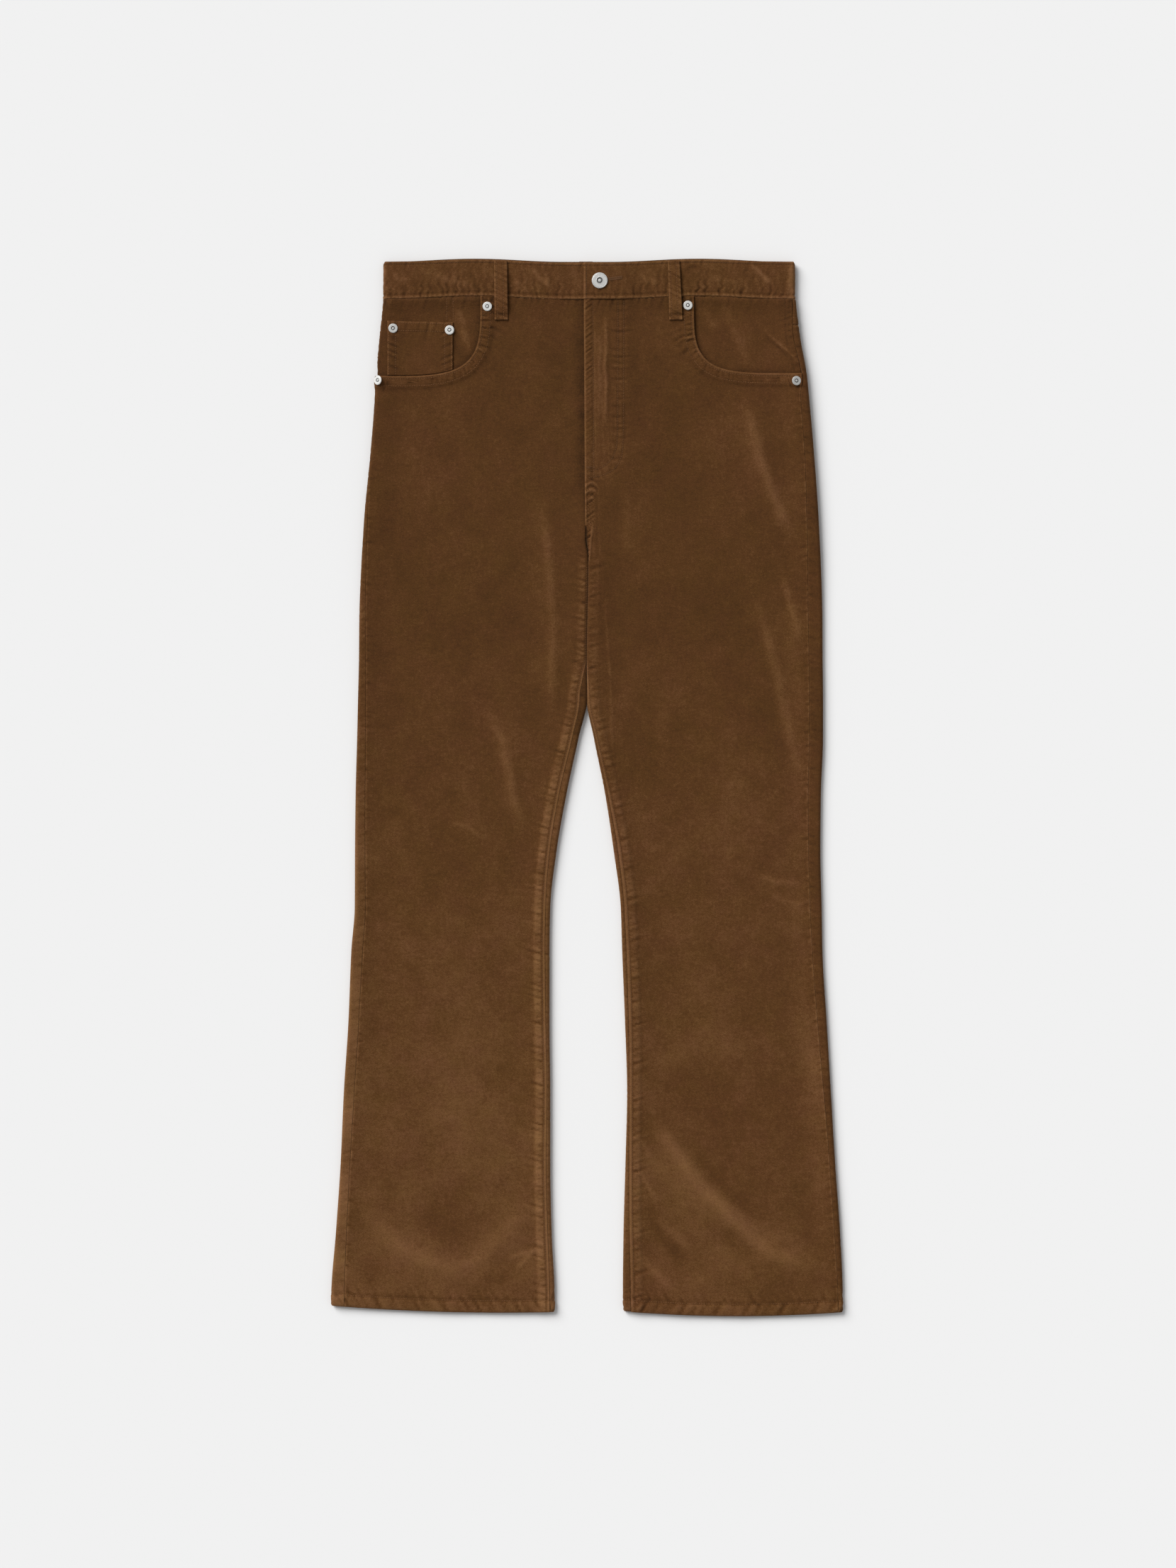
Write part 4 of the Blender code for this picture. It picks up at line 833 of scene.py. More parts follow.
def front_face(side, g, y):
    """The front's finished face: points, outward normals, and tone with painted light and shade."""
    x = unrolled(side, g, y)
    leg = 1 - ramp(y, 236, 262)
    fly = ramp(y, 318, 330)
    phase = 0.4 if side is RIGHT else 2.9
    from_inner = inner_edge(side, y, underlap=False) - g
    forms = [scoop_form(side, x, y, phase),
             inseam_form(side, from_inner, y, leg, phase),
             centre_form(side, y, from_inner, (1 - leg) * (1 - fly), fly, phase),
             outseam_form(side, y, g - outer_edge(side, y), phase),
             hem_form(side, x, y - hem_edge(side, g, y), phase),
             waist_form(x, waist_line(x) - y, g, phase, 1.1),
             folds(side.creases, x, y)]
    if side is LEFT:
        forms.append(fly_form(x, y, from_inner, fly))
    else:
        # On the right front, painted shade beside the fly's edge.
        forms.append((0 * x, -0.42 * bell(x + 4, 7.5) * fly * (1 + 0.3 * wave(y, 34, 1))))
    lift = sum(form[0] for form in forms)
    nap = sum(form[1] for form in forms) + tone(x, y, phase)
    lift += 0.55 * swell(x, y, phase) * ramp(from_inner, 4, 30) * ramp(g, 8, 30)
    return raised(side, g, y, lift, nap)


def fly_form(x, y, from_edge, fly):
    """Height and painted light and shade of the left front's fly: roped edge, zip ridge and curved rows."""
    _, pucker, pulled = amounts()
    strong = 0.36 + 0.44 * between(y, 438, 524, 20)
    roping = crumple(y - 0.7 * from_edge, 5.8, 0.7) * between(from_edge, 1.8, FLY_EDGE - 1.2, 1.3)
    roping = roping * fly * strong
    height = 0.5 * between(from_edge, 1, FLY_EDGE - 2, 1.8) * fly - 0.4 * bell(from_edge, 0.7) * fly
    height += 1.5 * pucker * roping - 1 * pulled * bell(from_edge - FLY_EDGE, 1.1) * ramp(y, 330, 338)
    # Painted highlights on the roping, the lit edge, the zip ridge and beside the rows; painted shade in the
    # hollow, the row grooves and under the arcs.
    nap = 0.46 * roping + 0.62 * bell(from_edge - 0.8, 0.8) * fly
    nap += 0.12 * between(from_edge, 1, FLY_EDGE, 1.5) * fly
    here = between(y, 396, 508, 12)
    bend = 0.8 * wave(y, 60, 1)
    ridge = bell(x - 20.5 - bend, 2) * here
    lower = bell(x - 14 - bend, 2.2) * between(y, 404, 486, 12)
    hollow = bell(x - 25.5 - bend, 2.2) * between(y, 404, 500, 12)
    height += 0.7 * ridge + 0.3 * lower - 0.45 * hollow
    nap += 0.34 * ridge + 0.22 * lower - 0.16 * hollow
    nap += 0.13 * between(x, 8, 27, 4) * between(y, 352, 515, 30)
    nap += 0.16 * bell(x - 8.6 - 0.6 * bend, 1.3) * between(y, 352, 505, 20) * (1 + 0.6 * wave(y, 23, 2))
    puffs = bell(x - 31, 4.5) * crumple(y + 0.3 * x, 13, 2.2) * between(y, 350, 510, 8)
    height += 0.8 * pucker * puffs
    nap += 0.16 * puffs
    low_streaks = wave(x + 0.04 * y, 5.2, 0.8) * between(x, 3, 31, 4) * between(y, 352, 430, 22)
    nap += 0.09 * low_streaks
    for row in FLY_ROWS:
        gap, run, _ = line_gap(x, y, row)
        drawn = puckers(run, gap, 8, 6.5, 0.3, 0.5)
        height += 0.7 * pucker * drawn - 1.1 * pulled * bell(gap, 1.1)
        nap += 0.18 * drawn - 0.14 * bell(gap, 1.1) + 0.12 * bell(gap - 2.4, 1.4)
    for low, reach, rise in FLY_ARCS:
        arc = y - low - rise * np.sin(np.clip(from_edge / reach, 0, 1) * math.pi)
        shown = (1 - ramp(from_edge, reach - 4, reach + 2)) * ramp(from_edge, 0, 1.5)
        height += (0.8 * bell(arc, 1.8) - 0.6 * bell(arc - 3.6, 1.4)) * shown
        nap += (0.50 * bell(arc, 1.8) - 0.48 * bell(arc - 3.6, 1.3)) * shown
    return height, nap


def back_face(side, g, y):
    """The back's finished face, from the outseam round both folds to the inseam or the centre seam."""
    _, pucker, pulled = amounts()
    cut = section(side, y)
    x = laid_open(side, cut, g)
    leg = 1 - ramp(y, 236, 262)
    phase = 1.2 if side is RIGHT else 3.7
    outer_end, inner_end = back_ends(cut)
    from_outer = outer_end - g
    from_inner = g + cut.girth + inner_end
    dimples = puckers(y, from_outer, 9, 8, 0.3, phase)
    drawn = puckers(y, from_inner, 8, 7, 0.3, phase + 1)
    lift = pucker * (0.5 * dimples + 0.5 * drawn)
    # Painted light on the puckers, painted highlights along the fold edges, the right outer strip and the
    # left hem corner, and painted shade over the right crotch and in the troughs; the left outer strip is a
    # little darker.
    nap = tone(x, y, phase) + 0.30 * dimples + 0.26 * drawn
    shaded = 0.60 * between(y, 50, 128, 22) if side is RIGHT else 0
    nap += ((0.36 if side is RIGHT else 0.10) * bell(from_inner - 4, 5) - shaded) * bell(from_inner, 14) * leg
    nap += 0.32 * bell(g + cut.girth, 2.6) * leg
    if side is RIGHT:
        bright = (0.16 + 0.30 * ramp(-y, -60, 350)) * (0.85 + 0.35 * wave(y, 71, 2))
        nap += 0.42 * bell(g - 3, 2.6) * between(y, -150, -20, 26)
        nap += bright * between(from_outer, -2, 17, 1.5) * (1 - ramp(y, 300, 340))
    else:
        nap -= 0.10 * between(from_outer, 0.8, 15, 1.5) * (1 - ramp(y, 300, 340))
        nap += 0.45 * between(from_outer, 0.8, 15, 1.5) * bell(y + 556, 14)
        lift -= pulled * sewn(from_inner, SEAT_ROWS, 1) * (1 - leg)
    more, turned = hem_form(side, x, y - hem_edge(side, g, y), phase, strength=0.8)
    below = yoke_line(g, cut) - y
    under = g < -8
    extra, laid = folds(side.troughs, x, y)
    lift += more + np.where(under, extra, 0) - 0.5 * bell(below, 0.9)
    nap += turned + np.where(under, laid, 0)
    points, normal, nap = raised(side, g, y, lift, nap)
    points[..., 2] = np.maximum(points[..., 2], 0)
    return points, normal, nap


def yoke_line(g, cut):
    """Height of the seam between the back and its yoke."""
    return YOKE_SIDE + (YOKE_CENTRE - YOKE_SIDE) * np.clip(-g / cut.girth, 0, 1)


def yoke_face(side, g, y):
    """The yoke's finished face, with two rows of stitching over its lower seam."""
    _, pucker, pulled = amounts()
    cut = section(side, y)
    x = laid_open(side, cut, g)
    phase = 0.9 if side is RIGHT else 2.2
    up = y - yoke_line(g, cut)
    below = waist_line(x) - y
    outer = back_ends(cut)[0] - g
    lift = 0.3 * between(up, 1.5, 8.5, 1) - 0.5 * bell(up, 0.8) - 0.5 * bell(below, 0.9)
    lift -= 0.5 * bell(g + cut.girth, 1) + 0.4 * bell(outer, 0.8)
    lift -= pulled * sewn(up, YOKE_ROWS, 1)
    waves = puckers(x, up, 7, 9, 0.3, phase) + puckers(x, below, 8, 7, 0.3, phase)
    lift += 0.6 * pucker * waves
    # Painted light on the puckers, a painted highlight beside the outer edge, and painted shade at the seam.
    nap = 0.3 * waves + tone(x, y, phase) + 0.30 * bell(outer - 2, 1.6) - 0.3 * bell(outer, 0.8)
    return raised(side, g, y, lift, nap)


def facing_depth(side, g, y):
    """How deep a pocket facing lies: under the front, but level with the cloth at its own outseam."""
    cut = section(side, y)
    joined = 1 - ramp(g - along(cut.outseam, cut.outer_radius), 0, FACING_JOIN)
    return FACING_DEPTH * (1 - joined * ramp(y, side.scoop_y, side.scoop_y + 18))


def facing_face(side, g, y):
    """The pocket facing's finished face."""
    groove, pucker, _ = amounts()
    x = unrolled(side, g, y)
    phase = 1.5 if side is RIGHT else 0.2
    from_outer = g - outer_edge(side, y)
    height, nap = waist_form(x, waist_line(x) - y, g, phase, 2.6)
    roped = crumple(y + 0.5 * from_outer, 5.5, phase) * bell(from_outer - 3, 2.6)
    drawn = puckers(y, from_outer, 9, 9, 0.4, phase)
    height += pucker * (0.7 * roped + 0.5 * drawn) - 0.5 * groove * bell(from_outer, 0.8)
    # Painted light on the roping and puckers, a painted highlight along the outseam with painted shade beside
    # it, and painted shade in the rows over the coin pocket.
    nap += 0.34 * roped + 0.25 * drawn + 0.2 * bell(from_outer - 1, 1.2) - 0.25 * bell(from_outer - 8, 1.4)
    if side is RIGHT:
        over_coin = ramp(y, 502, 506)
        height -= 0.25 * sewn(x, COIN_TAIL_ROWS, 0.9) * over_coin
        nap -= 0.15 * sewn(x, COIN_TAIL_ROWS, 1) * over_coin
    extra, turned = folds(side.facing_creases, x, y)
    gap = scoop_gap(side, x, y)[0]
    height += extra + 0.4 * swell(1.6 * x, 1.6 * y, phase)
    # Painted shadow near the scoop's edge, where the front stands over the facing.
    nap += turned + tone(x, y, phase) + 0.10 * swell(2.4 * x, 2.4 * y, phase) - 0.32 * bell(gap, 4)
    return raised(side, g, y, height - facing_depth(side, g, y), nap, folded=False)


def coin_face(x, y):
    """The coin pocket's finished face."""
    _, pucker, pulled = amounts()
    g = round_from(RIGHT, x, y)
    depth = facing_depth(RIGHT, g, y) - 0.3 - COIN_CLOTH
    down = coin_top(x) - y
    height = 0.4 * (1 - ramp(down, 9.5, 11.5)) - 0.4 * bell(down, 0.7)
    # Painted highlights along the top and side edges, the hem a little lighter, painted shade in the rows,
    # and painted light on the puckers.
    nap = tone(x, y, 1.5) + 0.10 * (1 - ramp(down, 9.5, 11.5)) + 0.3 * bell(down - 0.9, 0.9)
    height -= pulled * sewn(down, COIN_TOP_ROWS, 0.9)
    nap -= 0.14 * sewn(down, COIN_TOP_ROWS, 0.8)
    for gap, phase, lit in ((x - COIN_LEFT, 0.3, 0.34), (COIN_RIGHT - x, 1.9, 0.5)):
        height += 0.35 * (1 - ramp(gap, 8.5, 10.5)) - 0.5 * bell(gap, 0.8)
        height -= pulled * sewn(gap, COIN_SIDE_ROWS, 0.9)
        nap -= 0.14 * sewn(gap, COIN_SIDE_ROWS, 0.8)
        drawn = crumple(y + 0.4 * gap, 8.5, phase) * (1 - ramp(gap, 9, 15)) * ramp(down, 8, 14)
        height += 0.9 * pucker * drawn
        nap += 0.48 * drawn + lit * bell(gap - 0.9, 1)
    drawn = puckers(x, down, 8, 12, 0.2, 0.8)
    height += 0.8 * pucker * drawn
    nap += 0.34 * drawn
    return raised(RIGHT, g, y, height - depth, nap, folded=False)


def coin_top(x):
    """Height of the coin pocket's top edge."""
    return COIN_TOP_LEFT + (COIN_TOP_RIGHT - COIN_TOP_LEFT) * (x - COIN_LEFT) / (COIN_RIGHT - COIN_LEFT)


# ---- making meshes

def new_object(name, points, faces, finish, nap=None, smooth=True):
    """A mesh object from points in millimetres."""
    mesh = bpy.data.meshes.new(name)
    mesh.from_pydata((np.asarray(points) * MM).tolist(), [], faces)
    # The per-point value stored here is the broad tone plus painted light and shade: painted highlights on
    # ridges and edges, and painted shade in grooves and troughs.
    if nap is not None:
        layer = mesh.attributes.new("nap", "FLOAT", "POINT")
        layer.data.foreach_set("value", np.asarray(nap, dtype=np.float32))
    mesh.materials.append(finish)
    mesh.validate()
    if smooth:
        mesh.shade_smooth()
    thing = bpy.data.objects.new(name, mesh)
    bpy.context.scene.collection.objects.link(thing)
    return thing


def shell(name, face, thickness, coarse=5):
    """A closed cloth wall: a fine outer face, and a plain inner face with every coarse-th row and column."""
    points, normal, nap = face
    rows, columns = nap.shape
    thickness = np.broadcast_to(thickness, nap.shape)
    inner = (points - normal * thickness[..., None])[::coarse, ::coarse]
    low_rows, low_columns = inner.shape[:2]
    index = np.arange(rows * columns).reshape(rows, columns)
    under = rows * columns + np.arange(low_rows * low_columns).reshape(low_rows, low_columns)
    faces = []
    for grid, way in ((index, 1), (under, -1)):
        first, *others = grid[:-1, :-1], grid[:-1, 1:], grid[1:, 1:], grid[1:, :-1]
        faces += np.stack([first, *others[::way]], -1).reshape(-1, 4).tolist()
    for fine, plain, flip in ((index[0], under[0], True), (index[-1], under[-1], False),
                              (index[:, 0], under[:, 0], False), (index[:, -1], under[:, -1], True)):
        for step in range(len(plain) - 1):
            edge = fine[step * coarse:(step + 1) * coarse + 1].tolist()
            loop = edge + [int(plain[step + 1]), int(plain[step])]
            faces.append(loop[::-1] if flip else loop)
    every = np.concatenate((points.reshape(-1, 3), inner.reshape(-1, 3)))
    tones_and_painted_light = np.concatenate((nap.ravel(), nap[::coarse, ::coarse].ravel()))
    thing = new_object(name, every, faces, velvet(), tones_and_painted_light)
    walls = np.arange(len(faces)) < len(faces) - 2 * (low_rows + low_columns - 2)
    thing.data.polygons.foreach_set("use_smooth", walls)
    turn_out(thing)
    return thing


def turn_out(thing):
    """Points a closed mesh's faces outwards."""
    bm = bmesh.new()
    bm.from_mesh(thing.data)
    if bm.calc_volume(signed=True) < 0.0:
        bmesh.ops.reverse_faces(bm, faces=bm.faces)
        bm.to_mesh(thing.data)
    bm.free()


def even(count, coarse=5):
    """The nearest count of rows that a shell's coarse inner face divides evenly."""
    return max(1, round((count - 1) / coarse)) * coarse + 1


def spread(start, end, step):
    """Even steps from start to end, about one step apart, both ends kept."""
    return np.linspace(start, end, even(abs(end - start) / step + 1))


def edged(span, first, last, step, edge_step):
    """Places across a panel: edge_step apart within first and last of its ends, and step apart between."""
    start = np.arange(0.0, first, edge_step)
    end = span - np.arange(0.0, last, edge_step)[::-1]
    count = round((span - first - last) / step)
    count += (1 - len(start) - len(end) - count) % 5
    return np.concatenate((start, np.linspace(first, span - last, count + 2)[1:-1], end))


def ride(thing, node=None):
    """Rides a piece on the jeans, in place of its solid if it has one."""
    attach(thing, "root")
    if node:
        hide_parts(node)


def declare(thing, node):
    """Names a cloth piece and sets it in place of its solid."""
    thing.name = thing.data.name = node + "_cloth"
    ride(thing, node)


def make_cloth(node, face, thickness=None):
    """Makes and declares a cloth piece from its finished face; without a thickness it has the velvet's."""
    if thickness is None:
        thickness = bpy.context.scene.jeans_cloth.thickness / MM
    declare(shell(node, face, thickness), node)


# ---- materials

def nodes_of(name):
    """A new material, its node tree and its Object coordinates."""
    made = bpy.data.materials.new(name)
    made.use_nodes = True
    return made, made.node_tree, add(made.node_tree, "ShaderNodeTexCoord").outputs["Object"]


def add(tree, kind, **sockets):
    """Adds a node; a socket's value is a number, a colour or another node's output."""
    node = tree.nodes.new(kind)
    for name, value in sockets.items():
        socket = node.inputs[int(name[1:])] if name[0] == "_" else node.inputs[name.replace("_", " ")]
        if isinstance(value, bpy.types.NodeSocket):
            tree.links.new(value, socket)
        else:
            socket.default_value = value
    return node


def maths(tree, operation, first, second):
    """A Math node's result."""
    node = add(tree, "ShaderNodeMath", _0=first, _1=second)
    node.operation = operation
    return node.outputs[0]


def noise(tree, place, scale, detail=2.0, rough=0.5, stretch=(1.0, 1.0, 1.0), turn=0.0):
    """A noise pattern of the given scale, stretched and turned about Z, centred on zero."""
    mapped = add(tree, "ShaderNodeMapping", Vector=place, Scale=stretch, Rotation=(0.0, 0.0, turn))
    made = add(tree, "ShaderNodeTexNoise", Vector=mapped.outputs[0],
               Scale=scale, Detail=detail, Roughness=rough)
    return maths(tree, "SUBTRACT", made.outputs["Fac"], 0.5)


def mixed(tree, *terms):
    """The sum of patterns, each with its weight."""
    total = None
    for value, weight in terms:
        part = maths(tree, "MULTIPLY", value, weight)
        total = part if total is None else maths(tree, "ADD", total, part)
    return total


TWILL_TURN = math.radians(-52)
TWILL_PITCH = 0.0017
HUE_GREEN = (0.985, 1.030, 0.90)
HUE_RED = (1.015, 0.970, 1.10)


def ramped(tree, level, dark, light):
    """A colour that goes from dark to light with the level."""
    shade = add(tree, "ShaderNodeValToRGB", Fac=level)
    for stop, colour in zip(shade.color_ramp.elements, (dark, light)):
        stop.color = (*colour, 1.0)
    return shade


def settle(tree, colour, height=None, strength=0.6, distance=0.0002, **levels):
    """Joins a colour and a bump to the shader, and sets its plain sockets."""
    shader = tree.nodes["Principled BSDF"]
    tree.links.new(colour, shader.inputs["Base Color"])
    if height is not None:
        bump = add(tree, "ShaderNodeBump", Height=height, Strength=strength, Distance=distance)
        tree.links.new(bump.outputs["Normal"], shader.inputs["Normal"])
    for name, value in levels.items():
        shader.inputs[name.replace("_", " ")].default_value = value


def velvet():
    """Short-pile brown velvet: mottled tone with painted light and shade laid on it from a point attribute, a
    fine weave under it, and a soft sheen.
    """
    if "velvet_cloth" in bpy.data.materials:
        return bpy.data.materials["velvet_cloth"]
    cloth = bpy.context.scene.jeans_cloth
    made, tree, place = nodes_of("velvet_cloth")
    # This attribute carries the broad tone and the painted light and shade of the cloth's relief.
    turned = add(tree, "ShaderNodeAttribute")
    turned.attribute_name = "nap"
    broad = noise(tree, place, 9.0, 3.0, 0.55)
    blotch = noise(tree, place, 55.0, 4.0, 0.65)
    brushed = noise(tree, place, 300.0, 3.0, 0.6, stretch=(0.4, 1.0, 1.0))
    upright = noise(tree, place, 340.0, 3.0, 0.6, stretch=(1.0, 0.4, 1.0))
    slub = noise(tree, place, 620.0, 2.0, 0.6, stretch=(0.8, 1.0, 1.0))
    pile = noise(tree, place, 1200.0, 2.0, 0.7)
    turned_place = add(tree, "ShaderNodeMapping", Vector=place, Rotation=(0.0, 0.0, TWILL_TURN))
    twill = add(tree, "ShaderNodeTexWave", Vector=turned_place.outputs[0], Scale=math.tau / 20 / TWILL_PITCH,
                Distortion=7.0, Detail=3.0, Detail_Scale=2.0)
    twill = maths(tree, "SUBTRACT", twill.outputs["Fac"], 0.5)
    # The attribute's painted light and shade go into the colour level, beside the real mottling of the pile.
    level = mixed(tree, (turned.outputs["Fac"], 0.46), (broad, 0.22), (blotch, 0.25), (brushed, 0.20),
                  (upright, 0.18), (slub, 0.38), (twill, 0.07), (pile, 0.46))
    level = maths(tree, "ADD", level, 0.42)
    shade = ramped(tree, level, cloth.pile_dark_and_painted_shade, cloth.pile_light_and_painted_highlight)
    middle = shade.color_ramp.elements.new(0.42)
    middle.color = (*cloth.pile, 1.0)
    drift = mixed(tree, (noise(tree, place, 38.0, 3.0, 0.6), 0.8), (noise(tree, place, 7.0, 1.0, 0.5), 0.6))
    hue = ramped(tree, maths(tree, "ADD", drift, 0.46), HUE_GREEN, HUE_RED)
    hue.color_ramp.elements[0].position, hue.color_ramp.elements[1].position = 0.25, 0.75
    tinted = add(tree, "ShaderNodeMixRGB", Fac=1.0,
                 Color1=shade.outputs["Color"], Color2=hue.outputs["Color"])
    tinted.blend_type = "MULTIPLY"
    height = mixed(tree, (slub, 0.6), (twill, 0.25), (pile, 0.6), (upright, 0.4), (brushed, 0.4))
    settle(tree, tinted.outputs["Color"], height, distance=0.0005, Roughness=0.92, Specular_IOR_Level=0.15,
           Sheen_Weight=0.35, Sheen_Roughness=0.4, Sheen_Tint=(0.90, 0.56, 0.30, 1.0))
    return made


def thread(name="thread", share=1.0):
    """Spun thread: plies that wind round it, and a low gloss."""
    if name in bpy.data.materials:
        return bpy.data.materials[name]
    # A share below one darkens the thread; the sewing uses it to paint shade on sunk rows.
    colour = [share * part for part in bpy.context.scene.jeans_sewing.thread]
    made, tree, place = nodes_of(name)
    ply = noise(tree, place, 2600.0, 1.0, 0.5, stretch=(1.0, 0.35, 1.0), turn=0.7)
    wear_and_painted_shade = noise(tree, place, 120.0, 2.0, 0.5)
    level = maths(tree, "ADD", mixed(tree, (ply, 0.9), (wear_and_painted_shade, 0.7)), 0.5)
    shade = ramped(tree, level, [0.55 * part for part in colour], [1.35 * part for part in colour])
    settle(tree, shade.outputs["Color"], ply, Roughness=0.7, Specular_IOR_Level=0.2)
    return made


def metal(name="nickel", darker=1.0, rough=0.5):
    """Pale nickel-plated metal with fine wear."""
    if name in bpy.data.materials:
        return bpy.data.materials[name]
    colour = [darker * part for part in bpy.context.scene.jeans_metal.colour]
    made, tree, place = nodes_of(name)
    wear_and_painted_shade = noise(tree, place, 900.0, 3.0, 0.6)
    scratch = noise(tree, place, 2400.0, 2.0, 0.6, stretch=(1.0, 0.12, 1.0), turn=0.5)
    level = maths(tree, "ADD", mixed(tree, (wear_and_painted_shade, 0.9), (scratch, 0.5)), 0.5)
    shade = ramped(tree, level, [0.78 * part for part in colour], [1.12 * part for part in colour])
    gloss = add(tree, "ShaderNodeMapRange", Value=level, _3=rough - 0.08, _4=rough + 0.12)
    tree.links.new(gloss.outputs[0], tree.nodes["Principled BSDF"].inputs["Roughness"])
    settle(tree, shade.outputs["Color"], scratch, strength=0.15, distance=0.0001, Metallic=1.0)
    return made


def tape():
    """Woven zip tape."""
    if "zip_weave" in bpy.data.materials:
        return bpy.data.materials["zip_weave"]
    made, tree, place = nodes_of("zip_weave")
    ribs = add(tree, "ShaderNodeTexWave", Vector=place, Scale=1400.0, Distortion=1.0)
    ribs.bands_direction = "Y"
    shade = ramped(tree, ribs.outputs["Fac"], (0.045, 0.018, 0.007), (0.095, 0.042, 0.016))
    settle(tree, shade.outputs["Color"], ribs.outputs["Fac"], strength=0.4, Roughness=0.8)
    return made


# ---- cloth pieces

# Steps of the grids along rows and columns, and the strips near an edge where columns lie closer.
FRONT_ROW = 1.55
SCOOP_ROW = 1.15
FRONT_COLUMN = 3.4
EDGE_COLUMN = 1.1
EDGE_NEAR = 18.0
FLY_NEAR = 46.0
PANEL_WIDTH = 250.0
BACK_ROW = 2.1
BACK_COLUMN = 4.6
BACK_ROUND = 24
BACK_WIDTH = 230.0
BEYOND_FOLD = 6.0
YOKE_COLUMN = 2.4
YOKE_ROUND = 10
YOKE_ROWS_HIGH = 26
FACING_ROW = 1.6
FACING_COLUMN = 1.7
FACING_BELOW = 21.0
FACING_NEAR = 12.0
FACING_WIDTH = 130.0


def ruled(outer, inner, shares):
    """Values ruled across a panel for each row, at shares of the way from its outer to its inner ones."""
    return outer[:, None] + (inner - outer)[:, None] * shares


def make_front(side):
    """A front leg panel, ruled between its outer edge with the scoop and its inner edge."""
    low = np.arange(HEM_LINE, side.scoop_y - 0.5, FRONT_ROW)
    edge = np.stack(scoop_edge(side, 200), -1)
    run = summed(np.hypot(*np.diff(edge, axis=0).T))
    count = even(len(low) + run[-1] / SCOOP_ROW) - len(low)
    scoop_x, scoop_y = at_run(np.linspace(0, run[-1], count), run, edge).T
    outer_y = np.concatenate((low, scoop_y))
    first = int(np.searchsorted(low, LEG_TOP))
    climb = len(outer_y) - first
    inner_y = np.concatenate((low[:first], np.linspace(low[first - 1], WAIST_SEAM, climb + 1)[1:]))
    cut = section(side, scoop_y)
    on_scoop = along((scoop_x - cut.outer_fold) * side.inward, cut.outer_radius)
    outer_g = np.concatenate((outer_edge(side, low), on_scoop))
    near = FLY_NEAR if side is LEFT else EDGE_NEAR
    shares = edged(PANEL_WIDTH, EDGE_NEAR, near, FRONT_COLUMN, EDGE_COLUMN) / PANEL_WIDTH
    g = ruled(outer_g, inner_edge(side, inner_y), shares)
    level = ruled(outer_y, inner_y, shares)
    bent = bend_rows(side, g, level)
    on_scoop_rows = (np.arange(len(outer_y)) >= len(low))[:, None]
    y = bent + (level - bent) * np.where(on_scoop_rows, 1 - shares, 0)
    outer_g[:len(low)] = outer_edge(side, y[:len(low), 0])
    g = ruled(outer_g, inner_edge(side, y[:, -1]), shares)
    y[-1] = waist_line(skin(side, g[-1], y[-1])[:, 0]) - SEAM_GAP / 2
    make_cloth("front_" + side.name, front_face(side, g, y))


def back_columns(side, y, shares_round, middle):
    """Columns of a back piece for each row: round the outer fold, across, and round the inner fold."""
    cut = section(side, y)
    outer_end, inner_end = back_ends(cut)
    start = -(cut.outer_arc + BEYOND_FOLD)
    stop = -(cut.girth - cut.inner_arc - BEYOND_FOLD)
    return np.concatenate((ruled(outer_end, start, shares_round), ruled(start, stop, middle),
                           ruled(stop, -cut.girth - inner_end, shares_round)), axis=1)


def back_grid(side, outer_y, inner_y, step, fold_count, follow_hem):
    """Places of a back piece's grid, from heights at its outseam and at its inner edge."""
    shares_round = np.linspace(0, 1, fold_count)
    count = even(2 * fold_count + BACK_WIDTH / step) - 2 * fold_count
    middle = np.linspace(0, 1, count + 2)[1:-1]
    g = back_columns(side, inner_y, shares_round, middle)
    y = ruled(outer_y, inner_y, np.clip(-g / section(side, inner_y).girth[:, None], 0, 1))
    if follow_hem:
        y = bend_rows(side, g, np.minimum(y, WAIST_SEAM - BEND_LENGTH)) + np.maximum(
            y - WAIST_SEAM + BEND_LENGTH, 0)
    else:
        y[-1] = waist_line(skin(side, g[-1], y[-1])[:, 0]) - SEAM_GAP / 2
    for column in range(g.shape[1]):
        g[:, column] = back_columns(side, y[:, column], shares_round, middle)[:, column]
    return g, y


def make_back(side):
    """A back leg panel, from hem to yoke seam, wrapped round both folds."""
    outer_y = spread(HEM_LINE, YOKE_SIDE - SEAM_GAP / 2, BACK_ROW)
    first = int(np.searchsorted(outer_y, LEG_TOP))
    inner_y = np.concatenate((outer_y[:first], np.linspace(
        outer_y[first - 1], YOKE_CENTRE - SEAM_GAP / 2, len(outer_y) - first + 1)[1:]))
    g, y = back_grid(side, outer_y, inner_y, BACK_COLUMN, BACK_ROUND, follow_hem=True)
    make_cloth("back_" + side.name, back_face(side, g, y))


def make_yoke(side):
    """A back yoke, between the waistband and the back panel."""
    outer_y = np.linspace(YOKE_SIDE, WAIST_SEAM, YOKE_ROWS_HIGH)
    inner_y = np.linspace(YOKE_CENTRE, WAIST_SEAM, YOKE_ROWS_HIGH)
    outer_y[0] += SEAM_GAP / 2
    inner_y[0] += SEAM_GAP / 2
    g, y = back_grid(side, outer_y, inner_y, YOKE_COLUMN, YOKE_ROUND, follow_hem=False)
    make_cloth("yoke_" + side.name, yoke_face(side, g, y))


